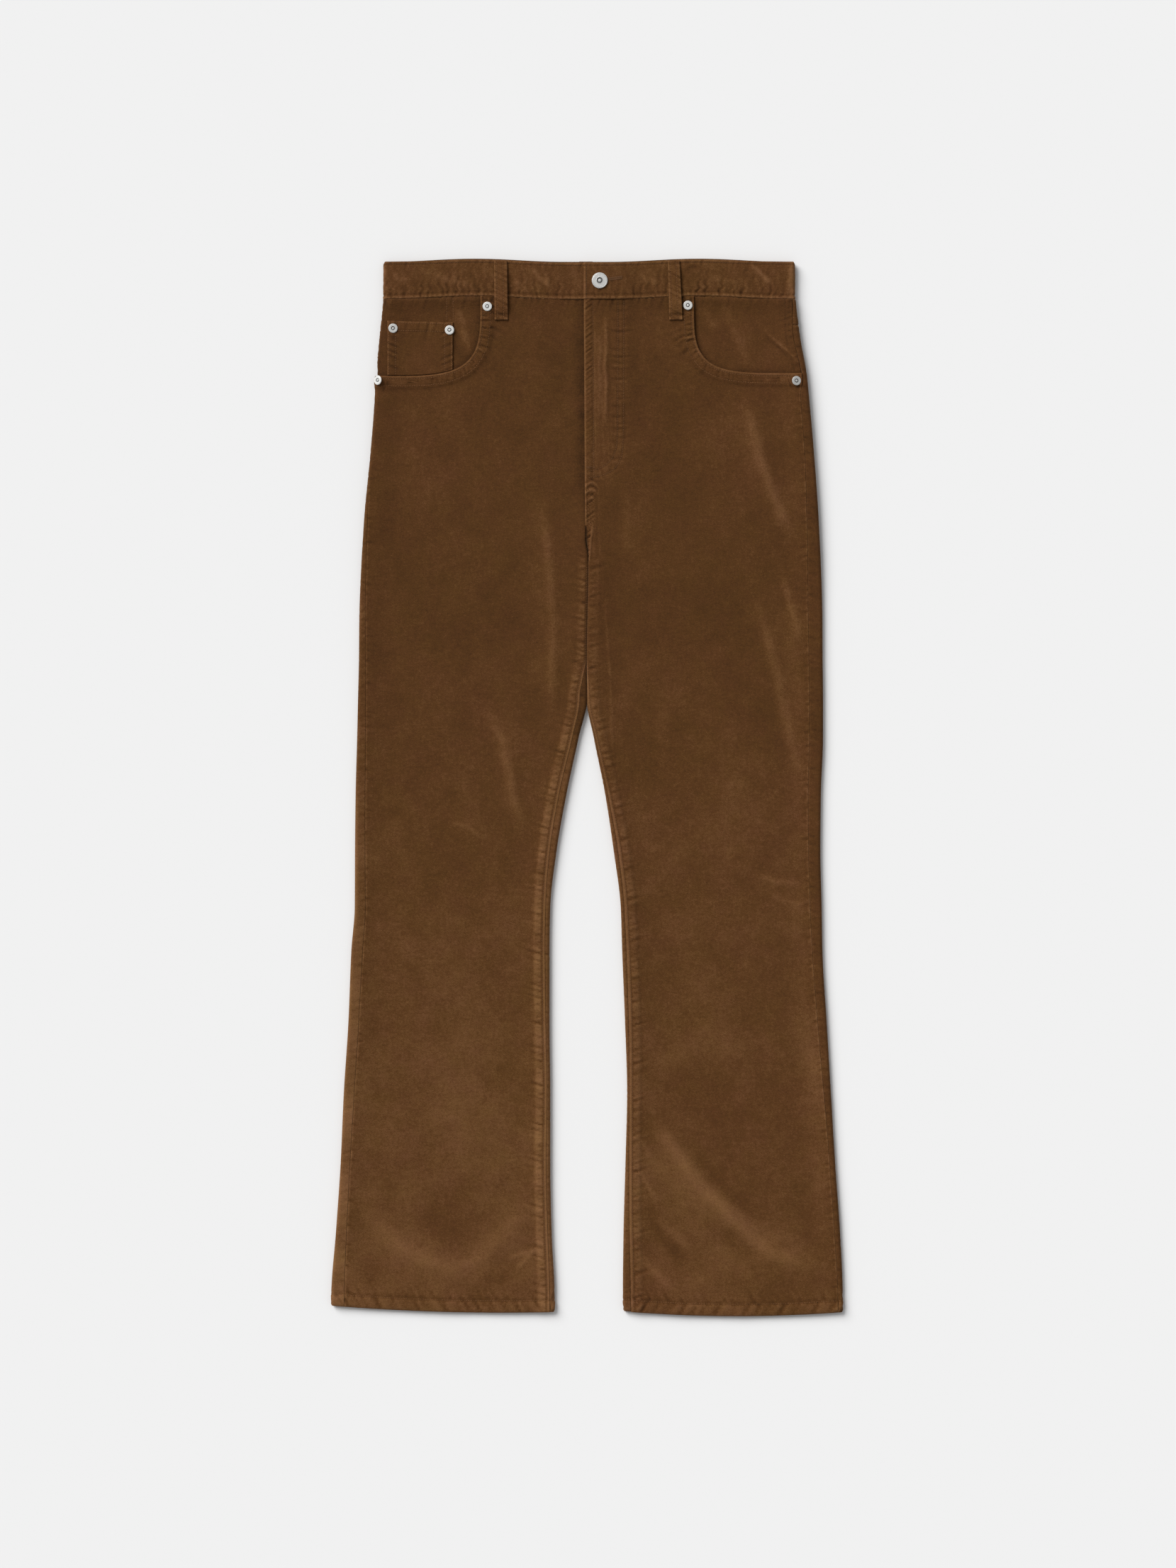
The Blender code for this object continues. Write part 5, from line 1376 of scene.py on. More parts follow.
def make_facing(side):
    """A hip pocket facing, which shows inside the scoop and runs on under the front."""
    level = spread(side.scoop_y - FACING_BELOW, WAIST_SEAM, FACING_ROW)
    cut = section(side, level)
    start = outer_edge(side, level)
    stop = np.abs(side.scoop_x - cut.outer_fold) + FACING_REACH
    shares = edged(FACING_WIDTH, FACING_NEAR, FACING_NEAR, FACING_COLUMN, 1) / FACING_WIDTH
    g = ruled(start, stop, shares)
    y = level[:, None] + np.zeros_like(g)
    y[-1] = waist_line(skin(side, g[-1], y[-1], folded=False)[:, 0]) - SEAM_GAP / 2
    make_cloth("pocket_facing_" + side.name, facing_face(side, g, y), FACING_CLOTH)


def make_coin_pocket():
    """The coin pocket on the right facing, from its straight top down to the scooped edge."""
    x = spread(COIN_LEFT, COIN_RIGHT, 1.1)
    edge_x, edge_y = scoop_edge(RIGHT)
    low = np.interp(x, edge_x, edge_y) + COIN_GAP
    share = np.linspace(0, 1, 51)[:, None]
    y = low + (coin_top(x) - low) * share
    make_cloth("coin_pocket", coin_face(x + 0 * y, y), COIN_CLOTH)


def pocket_outline(mirror):
    """Corners of a back pocket, in X and Y."""
    low = PATCH_TOP - PATCH_SIDE
    corners = ((-PATCH_TOP_WIDTH / 2, PATCH_TOP), (-PATCH_LOW_WIDTH / 2, low),
               (0, PATCH_TOP - PATCH_HEIGHT), (PATCH_LOW_WIDTH / 2, low),
               (PATCH_TOP_WIDTH / 2, PATCH_TOP))
    return [(mirror * PATCH_X + x, y) for x, y in corners]


def pocket_face(mirror, x, y):
    """A back pocket's finished face, which looks down at the floor."""
    _, pucker, pulled = amounts()
    gap, run, _ = line_gap(x, y, pocket_outline(mirror))
    down = PATCH_TOP - y
    lift = -0.7 * bell(gap, 0.9) - 0.6 * bell(down, 0.8) - 0.35 * ramp(gap, 9, 12) * ramp(down, 14, 17)
    lift -= pulled * (sewn(gap, POCKET_EDGE_ROWS, 1) + bell(down - POCKET_TOP_ROW, 1))
    drawn = puckers(run, gap, 8, 10, 0.2, 1)
    lift += 0.6 * pucker * (drawn - 0.5)
    points = np.stack([x, y, np.maximum(-lift, 0)], -1)
    normal = np.zeros_like(points)
    normal[..., 2] = -1
    # Painted light on the puckers, and a painted highlight beside the edge.
    return points, normal, 0.3 * drawn + tone(x, y, 1) + 0.16 * bell(gap - 1.5, 1.4)


def make_back_pocket(side):
    """A plain patch pocket on the seat, with its pointed lower edge."""
    mirror = -1 if side is RIGHT else 1
    share = np.linspace(0, 1, 71)
    down = np.linspace(0, 1, 76)[:, None]
    sides = PATCH_SIDE + (PATCH_HEIGHT - PATCH_SIDE) * (1 - np.abs(2 * share - 1))
    y = PATCH_TOP - sides * down
    half = (PATCH_TOP_WIDTH + (PATCH_LOW_WIDTH - PATCH_TOP_WIDTH) * down) / 2
    x = mirror * PATCH_X + half * (2 * share - 1)
    make_cloth("back_pocket_" + side.name, pocket_face(mirror, x, y), PATCH_CLOTH - 0.3)


# ---- waistband and belt loops

def band_height(x):
    """Height of the waistband's outer face over the front: the underlap's side and the overlap's side."""
    right = BAND_UNDERLAP + (BAND_FRONT - BAND_UNDERLAP) * ramp(-x, 14, 60)
    left = BAND_OVERLAP + (BAND_FRONT - BAND_OVERLAP) * ramp(x, 38, 62)
    return right, left


def band_line(step):
    """The waistband's outer face as points in X and Z, step apart, from the underlap to the overlap."""
    radius = (BAND_FRONT - BAND_BACK) / 2
    middle = BAND_BACK + radius
    right = float(read(RIGHT.sections, SECTION_COLUMNS, "outer_fold", WAIST_SEAM)) + 0.6 + radius
    left = float(read(LEFT.sections, SECTION_COLUMNS, "outer_fold", WAIST_SEAM)) - 0.6 - radius
    under = np.linspace(BAND_END + UNDERLAP, right, 200)
    over = np.linspace(left, BAND_END, 200)
    angles = np.linspace(math.pi / 2, -math.pi / 2, 24)
    line = np.concatenate((
        np.stack([under, band_height(under)[0]], -1),
        np.stack([right - radius * np.cos(angles), middle + radius * np.sin(angles)], -1)[1:],
        np.stack([np.linspace(right, left, 100), np.full(100, BAND_BACK)], -1)[1:],
        np.stack([left + radius * np.cos(angles), middle + radius * np.sin(angles[::-1])], -1)[1:],
        np.stack([over, band_height(over)[1]], -1)[1:]))
    run = summed(np.hypot(*np.diff(line, axis=0).T))
    at = spread(0, run[-1], step)
    return at, at_run(at, run, line)


def band_face(run, line, share):
    """The waistband's finished face at places along it and shares of its width."""
    _, pucker, pulled = amounts()
    along_line = np.gradient(line, axis=0)
    normal = unit(np.stack([along_line[:, 1], np.zeros(len(line)), -along_line[:, 0]], axis=-1))
    x, z = line[:, 0], line[:, 1]
    facing_up = ramp(z, BAND_BACK + 1, BAND_FRONT - 1)
    low = waist_line(x) + SEAM_GAP / 2
    high = waist_line(x) + BAND_WIDTH - FRONT_DIP * facing_up * ramp(210 - np.abs(x), 0, 60)
    corner = 1 - np.clip(np.minimum(x - x.min(), x.max() - x) / 2.6, 0, 1)
    high -= 2.6 * (1 - np.sqrt(1 - corner ** 2))
    y = low + (high - low) * share
    up, down = y - low, high - y
    x = x + 0 * y
    run = run + 0 * y
    on_front = facing_up * np.ones_like(y)
    ends = np.minimum(run, run.max() - run)
    lift = 0.3 * np.sin(math.pi * share) * ramp(z, BAND_UNDERLAP, BAND_FRONT)
    lift -= 0.35 * bell(up, 0.7) + 0.7 * bell(down, 0.9) + 0.6 * bell(ends, 0.9)
    lift += 0.3 * bell(up - 1.9, 1.1) - pulled * (1.3 * bell(up - 4.4, 1) + bell(down - BAND_TOP_ROW, 0.9))
    where = 0.8 + sum(height * bell(x - at, width) for at, width, height in BAND_DRAWN)
    beads = crumple(run, 5.4, 0.4) * bell(up - 1.9, 1.5)
    beside = np.maximum(up - 3, 0)
    bent_run = run + 1.6 * wave(up, 11, 0.02 * run)
    drawn = puckers(bent_run, beside, 8.6, 17, 0.16, 1.3) * where
    crossed = puckers(bent_run, beside, 12.5, 15, -0.30, 4.2) * where
    small = puckers(run, beside, 4.3, 5.5, -0.1, 2.1)
    top = puckers(run, down, 8.5, 7, -0.3, 0.2)
    ribs = wave(run + 7 * wave(up, 46, 0.013 * run), 8.2, 1) * (0.5 + 0.5 * wave(run, 93, 1.7))
    lift += pucker * (0.6 * beads + 1 * drawn + 0.8 * crossed + 0.4 * small + 0.7 * top + 0.35 * ribs)
    # Painted light on the beads and puckers, painted highlights along the lower ridge, the top edge and the
    # ends, and painted shade in the rows and along the top of the back band.
    nap = 0.30 * beads + 0.28 * drawn + 0.22 * crossed + 0.20 * small + 0.22 * top + 0.11 * ribs
    nap += 0.72 * bell(up - 1.5 - 0.4 * wave(run, 8, 2), 0.9) - 0.16 * bell(up - 4.6, 1.3)
    nap += 0.22 * bell(down - 1, 0.9) - 0.26 * bell(down - BAND_TOP_ROW, 0.8)
    nap += 0.05 + 0.07 * swell(2.2 * x, 3 * y, 0.6) + 0.06 * wave(x + 0.5 * y, 19, 0.3)
    nap += 0.5 * bell(np.abs(x) - 222, 5) * on_front + 0.4 * bell(ends - 0.9, 0.9)
    nap -= 0.5 * (1 - on_front) * bell(down, 1.5)
    extra, turned = folds(BAND_CREASES, x, y)
    lift += np.where(on_front > 0.5, extra, 0)
    nap += np.where(on_front > 0.5, turned, 0)
    points = np.stack([x, y, z + 0 * y], -1) + normal * lift[..., None]
    return points, np.broadcast_to(normal, points.shape), nap


def buttonhole_outline():
    """The keyhole's outline: a round eyelet with a slit running out of it."""
    reach = math.asin(SLIT_WIDTH / 2 / EYELET_RADIUS)
    outline = [(EYELET_RADIUS * math.cos(a), EYELET_RADIUS * math.sin(a))
               for a in np.linspace(reach, math.tau - reach, 15)]
    outline += [(SLIT_LENGTH, -SLIT_WIDTH / 2), (SLIT_LENGTH, SLIT_WIDTH / 2)]
    turn = Matrix.Rotation(SLIT_ANGLE, 2)
    return [turn @ Vector(point) + Vector((BUTTON_X, BUTTON_Y)) for point in outline]


def cut_buttonhole(band):
    """Cuts the keyhole through the overlap."""
    outline = buttonhole_outline()
    count = len(outline)
    low = (BAND_UNDERLAP + BAND_OVERLAP - BAND_CLOTH) / 2
    points = [(p.x, p.y, z) for z in (low, BAND_OVERLAP + 2) for p in outline]
    faces = [list(range(count))[::-1], list(range(count, 2 * count))]
    faces += [[i, (i + 1) % count, count + (i + 1) % count, count + i] for i in range(count)]
    cutter = new_object("buttonhole_cutter", points, faces, velvet(), smooth=False)
    turn_out(cutter)
    cut = band.modifiers.new("buttonhole", "BOOLEAN")
    cut.operation = "DIFFERENCE"
    cut.solver = "EXACT"
    cut.object = cutter
    apply_modifiers(band)
    bpy.data.objects.remove(cutter, do_unlink=True)


def make_waistband():
    """The waistband: one strip from the underlap, round the back, to the overlap with its buttonhole."""
    run, line = band_line(1.15)
    share = np.linspace(0, 1, 36)[:, None]
    piece = shell("waistband", band_face(run, line, share), BAND_CLOTH)
    cut_buttonhole(piece)
    declare(piece, "waistband")


def loop_frame(loop, share, across):
    """Places on a belt loop: shares of its length from the lower end, and millimetres across it."""
    y = LOOP_LOW + (LOOP_HIGH - LOOP_LOW) * share + 0 * across
    x = loop.x + loop.lean * (0.5 - share) + across * (1 - loop.taper / LOOP_WIDTH * share)
    if loop.face == "back":
        return x, y, np.zeros_like(y)
    side = RIGHT if loop.x < 0 else LEFT
    gap = scoop_gap(side, x, y)[0]
    hem = POCKET_RISE * (1 - ramp(gap, POCKET_HEM, POCKET_HEM + 4))
    panel = front_height(side, x, y, section(side, y)) + hem
    band = np.where(x < 0, *band_height(x))
    climb = ramp(y, LOOP_LOW + 2, 524)
    standing = 1.5 * climb * (1 - ramp(y, LOOP_HIGH - 16, LOOP_HIGH - 2)) * ramp(across, -9, 8)
    return x, y, panel + (band - panel) * climb + 0.4 + standing + LOOP_CLOTH


def loop_face(loop, share, across):
    """A belt loop's finished face."""
    _, pucker, pulled = amounts()
    x, y, z = loop_frame(loop, share, across)
    edge = LOOP_WIDTH / 2 - np.abs(across)
    low, high = y - LOOP_LOW, LOOP_HIGH - y
    lift = 0.2 - 0.45 * bell(edge, 0.8) - 0.4 * bell(low, 0.8) - 0.4 * bell(high, 0.8)
    # Painted highlights along the edges, painted shade in the rows and at the lower fold, and painted light
    # on the waves.
    nap = 0.20 + 0.36 * bell(edge - 0.9, 0.9)
    rows = sewn(across, LOOP_ROWS, 0.8)
    lift -= 0.9 * pulled * rows
    nap -= 0.15 * rows
    waves = crumple(y + 0.5 * across, 6.2, loop.x) * (0.5 + 0.5 * bell(edge, 4))
    lift += 0.9 * pucker * waves
    for tack in (low - 5.5, high - 4):
        lift -= 0.5 * bell(tack, 1.5)
    nap += 0.42 * waves + tone(x, y, 0.3) - 0.45 * bell(low - 6, 1.8) + 0.2 * bell(low - 1.5, 1.5)
    facing = -1 if loop.face == "back" else 1
    height = np.maximum(-lift, 0) if loop.face == "back" else z + lift
    normal = np.zeros((*y.shape, 3))
    normal[..., 2] = facing
    return np.stack([x, y, height], -1), normal, nap


def make_loop(loop):
    """A belt loop, sewn down at both ends."""
    share = np.linspace(0, 1, 71)[:, None]
    across = np.linspace(-LOOP_WIDTH / 2, LOOP_WIDTH / 2, 21)
    make_cloth(loop.name, loop_face(loop, share, across + 0 * share), LOOP_CLOTH - 0.35)


# ---- modelling by operators

def choose(piece):
    """Selects one piece alone and makes it active."""
    bpy.ops.object.select_all(action="DESELECT")
    piece.select_set(True)
    bpy.context.view_layer.objects.active = piece


def extrude(x, y, z):
    """Extrudes the selected faces by a distance along each axis."""
    bpy.ops.mesh.extrude_region_move(TRANSFORM_OT_translate={"value": (x, y, z)})


def start_piece(name, add_primitive, finish, **size):
    """Adds a primitive with nothing else selected, names it and opens it for editing."""
    bpy.ops.object.select_all(action="DESELECT")
    add_primitive(**size)
    piece = bpy.context.active_object
    bpy.ops.object.transform_apply(location=True, rotation=True, scale=True)
    piece.name = piece.data.name = name
    piece.data.materials.clear()
    piece.data.materials.append(finish)
    bpy.ops.object.mode_set(mode="EDIT")
    bpy.ops.mesh.select_mode(type="FACE")
    return piece


def pick(piece, test):
    """Selects the faces of an edited mesh whose centre and normal pass a test."""
    bm = bmesh.from_edit_mesh(piece.data)
    for part in (*bm.verts, *bm.edges, *bm.faces):
        part.select = False
    for face in bm.faces:
        if test(face.calc_center_median(), face.normal):
            face.select_set(True)
    bmesh.update_edit_mesh(piece.data)


def apply_modifiers(piece):
    """Applies every modifier of a piece in order."""
    choose(piece)
    for modifier in list(piece.modifiers):
        bpy.ops.object.modifier_apply(modifier=modifier.name)


BEVEL_ANGLE = 25.0
SMOOTH_ANGLE = 20.0


def end_piece(piece, bevel=0.0, segments=2):
    """Closes editing, rounds the edges and shades the piece smoothly."""
    bpy.ops.mesh.select_all(action="SELECT")
    bpy.ops.mesh.normals_make_consistent(inside=False)
    bpy.ops.object.mode_set(mode="OBJECT")
    if bevel > 0.0:
        rounded = piece.modifiers.new("rounded", "BEVEL")
        rounded.width = bevel
        rounded.segments = segments
        rounded.limit_method = "ANGLE"
        rounded.angle_limit = math.radians(BEVEL_ANGLE)
        apply_modifiers(piece)
    choose(piece)
    bpy.ops.object.shade_smooth_by_angle(angle=math.radians(SMOOTH_ANGLE))


def place(piece, matrix):
    """Moves a piece's mesh to its place and leaves its object at the origin."""
    piece.data.transform(matrix @ piece.matrix_world)
    piece.matrix_world = Matrix.Identity(4)
    piece.data.update()


def stepped_disc(name, finish, radius, depth, steps, vertices=48):
    """A disc whose top is worked in rings: each step insets the top face and then moves it up or down."""
    piece = start_piece(name, bpy.ops.mesh.primitive_cylinder_add, finish, vertices=vertices,
                        radius=radius, depth=depth, location=(0, 0, depth / 2))
    top = depth
    for inset, rise in steps:
        pick(piece, lambda centre, normal: (
            centre.z > top - 1e-6 and normal.z > 0.9 and centre.xy.length < 1e-5))
        bpy.ops.mesh.inset(thickness=inset, depth=0.0)
        if rise:
            extrude(0, 0, rise)
        top += rise
    return piece


HEAD_DEPTH = 0.0013
DARK_METAL = ("oxidised", 0.28, 0.5)


def make_button():
    """The shank button: a broad flat ring round a dark well with a nub in it, on its shank."""
    radius = bpy.context.scene.jeans_metal.button_radius
    base = (BAND_OVERLAP + 0.6) * MM
    foot = (BAND_UNDERLAP + 0.6) * MM
    steps = ((0.0005, 0.0003), (0.0004, -0.00015), (0.0003, 0.00015), (0.0032, 0.0), (0.0004, 0.0002),
             (0.0004, -0.001), (0.0013, 0.0), (0.0004, 0.0008), (0.0006, 0.0003))
    head = stepped_disc("waist_button_metal", metal(), radius, HEAD_DEPTH, steps, vertices=72)
    pick(head, lambda centre, normal: normal.z < -0.9)
    bpy.ops.mesh.inset(thickness=radius - 0.002, depth=0.0)
    extrude(0, 0, foot - base)
    end_piece(head, bevel=0.00018)
    place(head, Matrix.Translation((BUTTON_X * MM, BUTTON_Y * MM, base)))
    head.data.materials.append(metal(*DARK_METAL))
    for face in head.data.polygons:
        reach = math.hypot(face.center.x - BUTTON_X * MM, face.center.y - BUTTON_Y * MM)
        face.material_index = 0.0018 < reach < 0.0034 and base < face.center.z < base + HEAD_DEPTH
    ride(head, "waist_button")


def make_rivets():
    """The rivets: one is worked as a ring with a nub, and copied square to the cloth at each place."""
    radius = bpy.context.scene.jeans_metal.rivet_radius
    steps = ((0.0005, 0.0003), (0.0019, 0.0), (0.0004, -0.0005), (0.0009, 0.0), (0.0002, 0.0006),
             (0.0004, 0.0002))
    model = stepped_disc("rivet", metal("rivet_nickel", 1.04, 0.6), radius, 0.0006, steps, vertices=40)
    end_piece(model, bevel=0.00016)
    model.data.materials.append(metal(*DARK_METAL))
    for face in model.data.polygons:
        face.material_index = 0.00125 < face.center.xy.length < 0.0025 and face.center.z < 0.0008
    for row in RIVETS:
        y = np.array([row.y])
        g = round_from(row.side, np.array([row.x]), y)
        folded = row.layer == "front"
        lift = POCKET_RISE if folded else COIN_CLOTH + 0.3 - float(facing_depth(row.side, g, y)[0])
        normal = outward(row.side, g, y, folded)[0]
        lean = math.radians(row.lean)
        point = skin(row.side, g, y, folded)[0] + normal * (lift + 0.45 + 2.0 * math.sin(lean))
        turn = (Matrix.Rotation(-row.side.inward * lean, 4, "Y")
                @ Vector(normal).to_track_quat("Z", "Y").to_matrix().to_4x4())
        piece = model.copy()
        piece.data = model.data.copy()
        piece.name = piece.data.name = row.name + "_metal"
        bpy.context.scene.collection.objects.link(piece)
        place(piece, Matrix.Translation(Vector(point) * MM) @ turn)
        ride(piece, row.name)
    bpy.data.objects.remove(model, do_unlink=True)


def make_zip():
    """The closed zip under the fly: two tapes and a chain of worked teeth between them."""
    low, high = ZIP_LOW, WAIST_SEAM - 0.6
    base = FLY_UNDER + 0.3
    tapes = start_piece("zip_tapes", bpy.ops.mesh.primitive_grid_add, tape(),
                        x_subdivisions=24, y_subdivisions=60, size=1.0, location=(0, 0, 0))
    bpy.ops.transform.resize(value=(TAPE_WIDTH, (high - low) * MM, 1.0), center_override=(0, 0, 0))
    pick(tapes, lambda centre, normal: abs(centre.x) < 0.0006)
    bpy.ops.mesh.delete(type="FACE")
    end_piece(tapes)
    wall = tapes.modifiers.new("wall", "SOLIDIFY")
    wall.thickness = 0.0005
    wall.offset = 1.0
    apply_modifiers(tapes)
    place(tapes, Matrix.Translation((ZIP_X * MM, (low + high) / 2 * MM, base * MM)))
    tooth = start_piece("zip_tooth", bpy.ops.mesh.primitive_cube_add, metal("zip_metal", 0.8, 0.4), size=1.0,
                        location=(0, 0, 0))
    bpy.ops.transform.resize(value=(0.0030, 0.0010, 0.0007), center_override=(0, 0, 0))
    pick(tooth, lambda centre, normal: normal.x > 0.9)
    extrude(0.0006, 0, 0)
    bpy.ops.transform.resize(value=(1.0, 0.55, 0.8), center_override=(0.0021, 0, 0))
    end_piece(tooth, bevel=0.0001, segments=1)
    points = np.array([v.co for v in tooth.data.vertices])
    faces = [list(p.vertices) for p in tooth.data.polygons]
    every, loops = [], []
    for number, y in enumerate(np.arange(low + 2.0, high - 8.0, 1.1)):
        flip = 1 if number % 2 else -1
        moved = points * (flip, 1, 1) + ((ZIP_X - flip * 0.9) * MM, y * MM, (base + 0.65) * MM)
        loops += [[len(every) + i for i in (face if flip == 1 else face[::-1])] for face in faces]
        every += moved.tolist()
    chain = new_object("zip_chain", np.array(every) / MM, loops, metal("zip_metal", 0.8, 0.4), smooth=False)
    bpy.data.objects.remove(tooth, do_unlink=True)
    ride(tapes, "zip")
    ride(chain)


# ---- stitching

def stitch_model():
    """One stitch, worked from a short cylinder: pinched ends that dip into the cloth."""
    sewing = bpy.context.scene.jeans_sewing
    piece = start_piece("stitch", bpy.ops.mesh.primitive_cylinder_add, thread(), vertices=6,
                        radius=sewing.width / 2, depth=sewing.length * 0.6, rotation=(0, math.pi / 2, 0))
    for way in (-1, 1):
        pick(piece, lambda centre, normal: normal.x * way > 0.9)
        extrude(way * sewing.length * 0.2, 0, 0)
        bpy.ops.transform.resize(value=(0.45, 0.45, 0.45))
    bpy.ops.object.mode_set(mode="OBJECT")
    place(piece, Matrix.Identity(4))
    points = np.array([v.co for v in piece.data.vertices]) / MM
    faces = [list(p.vertices) for p in piece.data.polygons]
    bpy.data.objects.remove(piece, do_unlink=True)
    return points, faces


def stitch_row(points, normals, pitch):
    """Centres, directions and normals of the stitches along a fine line of surface points."""
    run = summed(np.linalg.norm(np.diff(points, axis=0), axis=1))
    count = max(1, int(run[-1] / pitch))
    at = (np.arange(count) + 0.5) * run[-1] / count
    forward = unit(at_run(at + 0.4, run, points) - at_run(at - 0.4, run, points))
    return at_run(at, run, points), forward, at_run(at, run, normals)


def sew(name, rows, finish, sunk=0.02):
    """Joins the stitches of several rows into one piece; a row is its surface points and normals."""
    sewing = bpy.context.scene.jeans_sewing
    model, faces = stitch_model()
    pitch = sewing.pitch / MM
    every, loops = [], []
    for points, normals in rows:
        centre, forward, up = stitch_row(points, normals, pitch)
        across = unit(np.cross(up, forward))
        up = np.cross(forward, across)
        drift = 0.10 * np.sin(np.arange(len(centre)) * 2.4)[:, None]
        centre = centre + up * (sewing.width / MM * 0.28 - sunk) + across * drift * 0.6
        aim = unit(forward + across * drift)
        across = np.cross(up, aim)
        placed = (centre[:, None] + model[None, :, :1] * aim[:, None]
                  + model[None, :, 1:2] * across[:, None] + model[None, :, 2:] * 0.8 * up[:, None])
        placed[..., 2] = np.maximum(placed[..., 2], 0.0)
        for one in placed:
            start = len(every)
            loops += [[start + i for i in face] for face in faces]
            every += one.tolist()
    piece = new_object(name, np.array(every), loops, finish)
    turn_out(piece)
    ride(piece)


def fine(line, step=1.0):
    """A line of corners as even, rounded points about one step apart."""
    corners = np.array(line, dtype=float)
    for _ in range(3):
        if len(corners) > 2:
            near = corners[:-1] * 0.75 + corners[1:] * 0.25
            far = corners[:-1] * 0.25 + corners[1:] * 0.75
            inside = np.stack([near, far], 1).reshape(-1, corners.shape[1])
            corners = np.concatenate((corners[:1], inside[1:-1], corners[-1:]))
    run = summed(np.linalg.norm(np.diff(corners, axis=0), axis=1))
    return at_run(np.linspace(0.0, run[-1], max(2, int(run[-1] / step))), run, corners)


def offset_line(line, gap):
    """A line of x and y points moved sideways to its left by a gap."""
    along_line = unit(np.gradient(line, axis=0))
    return line + np.stack([-along_line[:, 1], along_line[:, 0]], -1) * gap


def on_front(side, line):
    """A front row from x and y places."""
    x, y = line.T
    return front_face(side, round_from(side, x, y), y)[:2]


def inseam_row(side):
    """The sunk row of stitching beside the inseam."""
    y = np.arange(-552.0, 240.0, 1.0)
    return front_face(side, inner_edge(side, y, underlap=False) - inseam_gap(side, y), y)[:2]


def scoop_rows(side, shown):
    """The two rows along the pocket edge: the part that shows low down, or the sunk part above it."""
    line = fine(np.stack(scoop_edge(side, 60), -1))
    rows = []
    for gap in SCOOP_ROWS:
        row = offset_line(line, -gap * side.inward)
        low = row[:, 1] < SCOOP_SUNK
        keep = (low if shown else ~low) & (row[:, 1] < 526.0) & (np.abs(row[:, 0]) < np.abs(line[0, 0]))
        rows.append(on_front(side, row[keep]))
    return rows


def sunk_rows(side):
    """Rows on a front panel that sink into the pile."""
    rows = scoop_rows(side, shown=False)
    if side is LEFT:
        y = np.arange(334.0, 527.0, 1.0)
        rows.append(front_face(side, inner_edge(side, y) - FLY_EDGE, y)[:2])
        rows += [on_front(side, fine(line)) for line in FLY_ROWS]
    return rows


def front_rows(side):
    """Rows of stitching that show on a front panel."""
    rows = scoop_rows(side, shown=True)
    cut_y = np.full(320, HEM_LINE + HEM_DEPTH)
    share = np.linspace(0.004, 0.996, 320)
    edge, inner = outer_edge(side, cut_y), inner_edge(side, cut_y)
    g = edge + (inner - edge) * share
    rows.append(front_face(side, g, hem_edge(side, g, cut_y) + HEM_DEPTH)[:2])
    return rows


def back_rows(side):
    """Rows of stitching on a back panel and its yoke."""
    share = np.linspace(0.002, 0.998, 400)
    y = np.full(400, HEM_LINE + HEM_DEPTH)
    cut = section(side, y)
    first = along(cut.outseam, cut.outer_radius) - SEAM_GAP
    last = -cut.girth - along(cut.inseam, cut.inner_radius) + SEAM_GAP
    g = first + (last - first) * share
    rows = [back_face(side, g, hem_edge(side, g, y) + HEM_DEPTH)[:2]]
    for gap in YOKE_ROWS:
        y = np.full(260, YOKE_SIDE)
        for _ in range(3):
            cut = section(side, y)
            first = along(cut.outseam, cut.outer_radius) - SEAM_GAP
            g = first + (-cut.girth - first) * np.linspace(0.0, 1.0, 260)
            y = yoke_line(g, cut) + gap
        rows.append(yoke_face(side, g, y)[:2])
    if side is LEFT:
        y = np.arange(262.0, 461.0, 1.0)
        for gap in SEAT_ROWS:
            rows.append(back_face(side, -section(side, y).girth + gap, y)[:2])
    return rows


def pocket_rows(mirror):
    """Rows of stitching on a back pocket."""
    rows = []
    centre = mirror * PATCH_X
    for gap in POCKET_EDGE_ROWS:
        narrow = 1.0 - gap / (PATCH_LOW_WIDTH / 2)
        short = 1 - gap / POCKET_POINT
        line = [(centre + (x - centre) * narrow, PATCH_TOP - 1.0 - (PATCH_TOP - y) * short)
                for x, y in pocket_outline(mirror)]
        rows += zip(line[:-1], line[1:])
    half = PATCH_TOP_WIDTH / 2 - 3.0
    level = PATCH_TOP - POCKET_TOP_ROW
    rows.append(((centre - half, level), (centre + half, level)))
    return [pocket_face(mirror, *fine(row).T)[:2] for row in rows]


def coin_rows():
    """Rows of stitching on the coin pocket, and the two that run from it up to the waist."""
    x = np.arange(COIN_LEFT + 1.0, COIN_RIGHT - 1.0, 1.0)
    rows = [coin_face(x, coin_top(x) - gap)[:2] for gap in COIN_TOP_ROWS]
    for gap in COIN_SIDE_ROWS:
        for place_x in (COIN_LEFT + gap, COIN_RIGHT - gap):
            y = np.arange(float(np.interp(place_x, *scoop_edge(RIGHT))) + 1.0, coin_top(place_x) - 1.0, 1.0)
            rows.append(coin_face(place_x + 0.0 * y, y)[:2])
    y = np.arange(505.5, 530.0, 1.0)
    for place_x in COIN_TAIL_ROWS:
        rows.append(facing_face(RIGHT, round_from(RIGHT, place_x + 0.0 * y, y), y)[:2])
    return rows


def band_rows():
    """Rows of stitching round the waistband and across its overlap end."""
    run, line = band_line(1.0)
    points, normals, _ = band_face(run, line, np.array([[1.0 - BAND_TOP_ROW / BAND_WIDTH]]))
    share = np.linspace(0.06, 0.94, 40)[:, None]
    end_points, end_normals, _ = band_face(run, line, share)
    return [(points[0], normals[0]), (end_points[:, -4], end_normals[:, -4])]


def loop_rows(loop):
    """Rows of stitching along a belt loop."""
    share = np.linspace(0.03, 0.97, 60)
    return [loop_face(loop, share, np.full(60, row))[:2] for row in LOOP_ROWS]


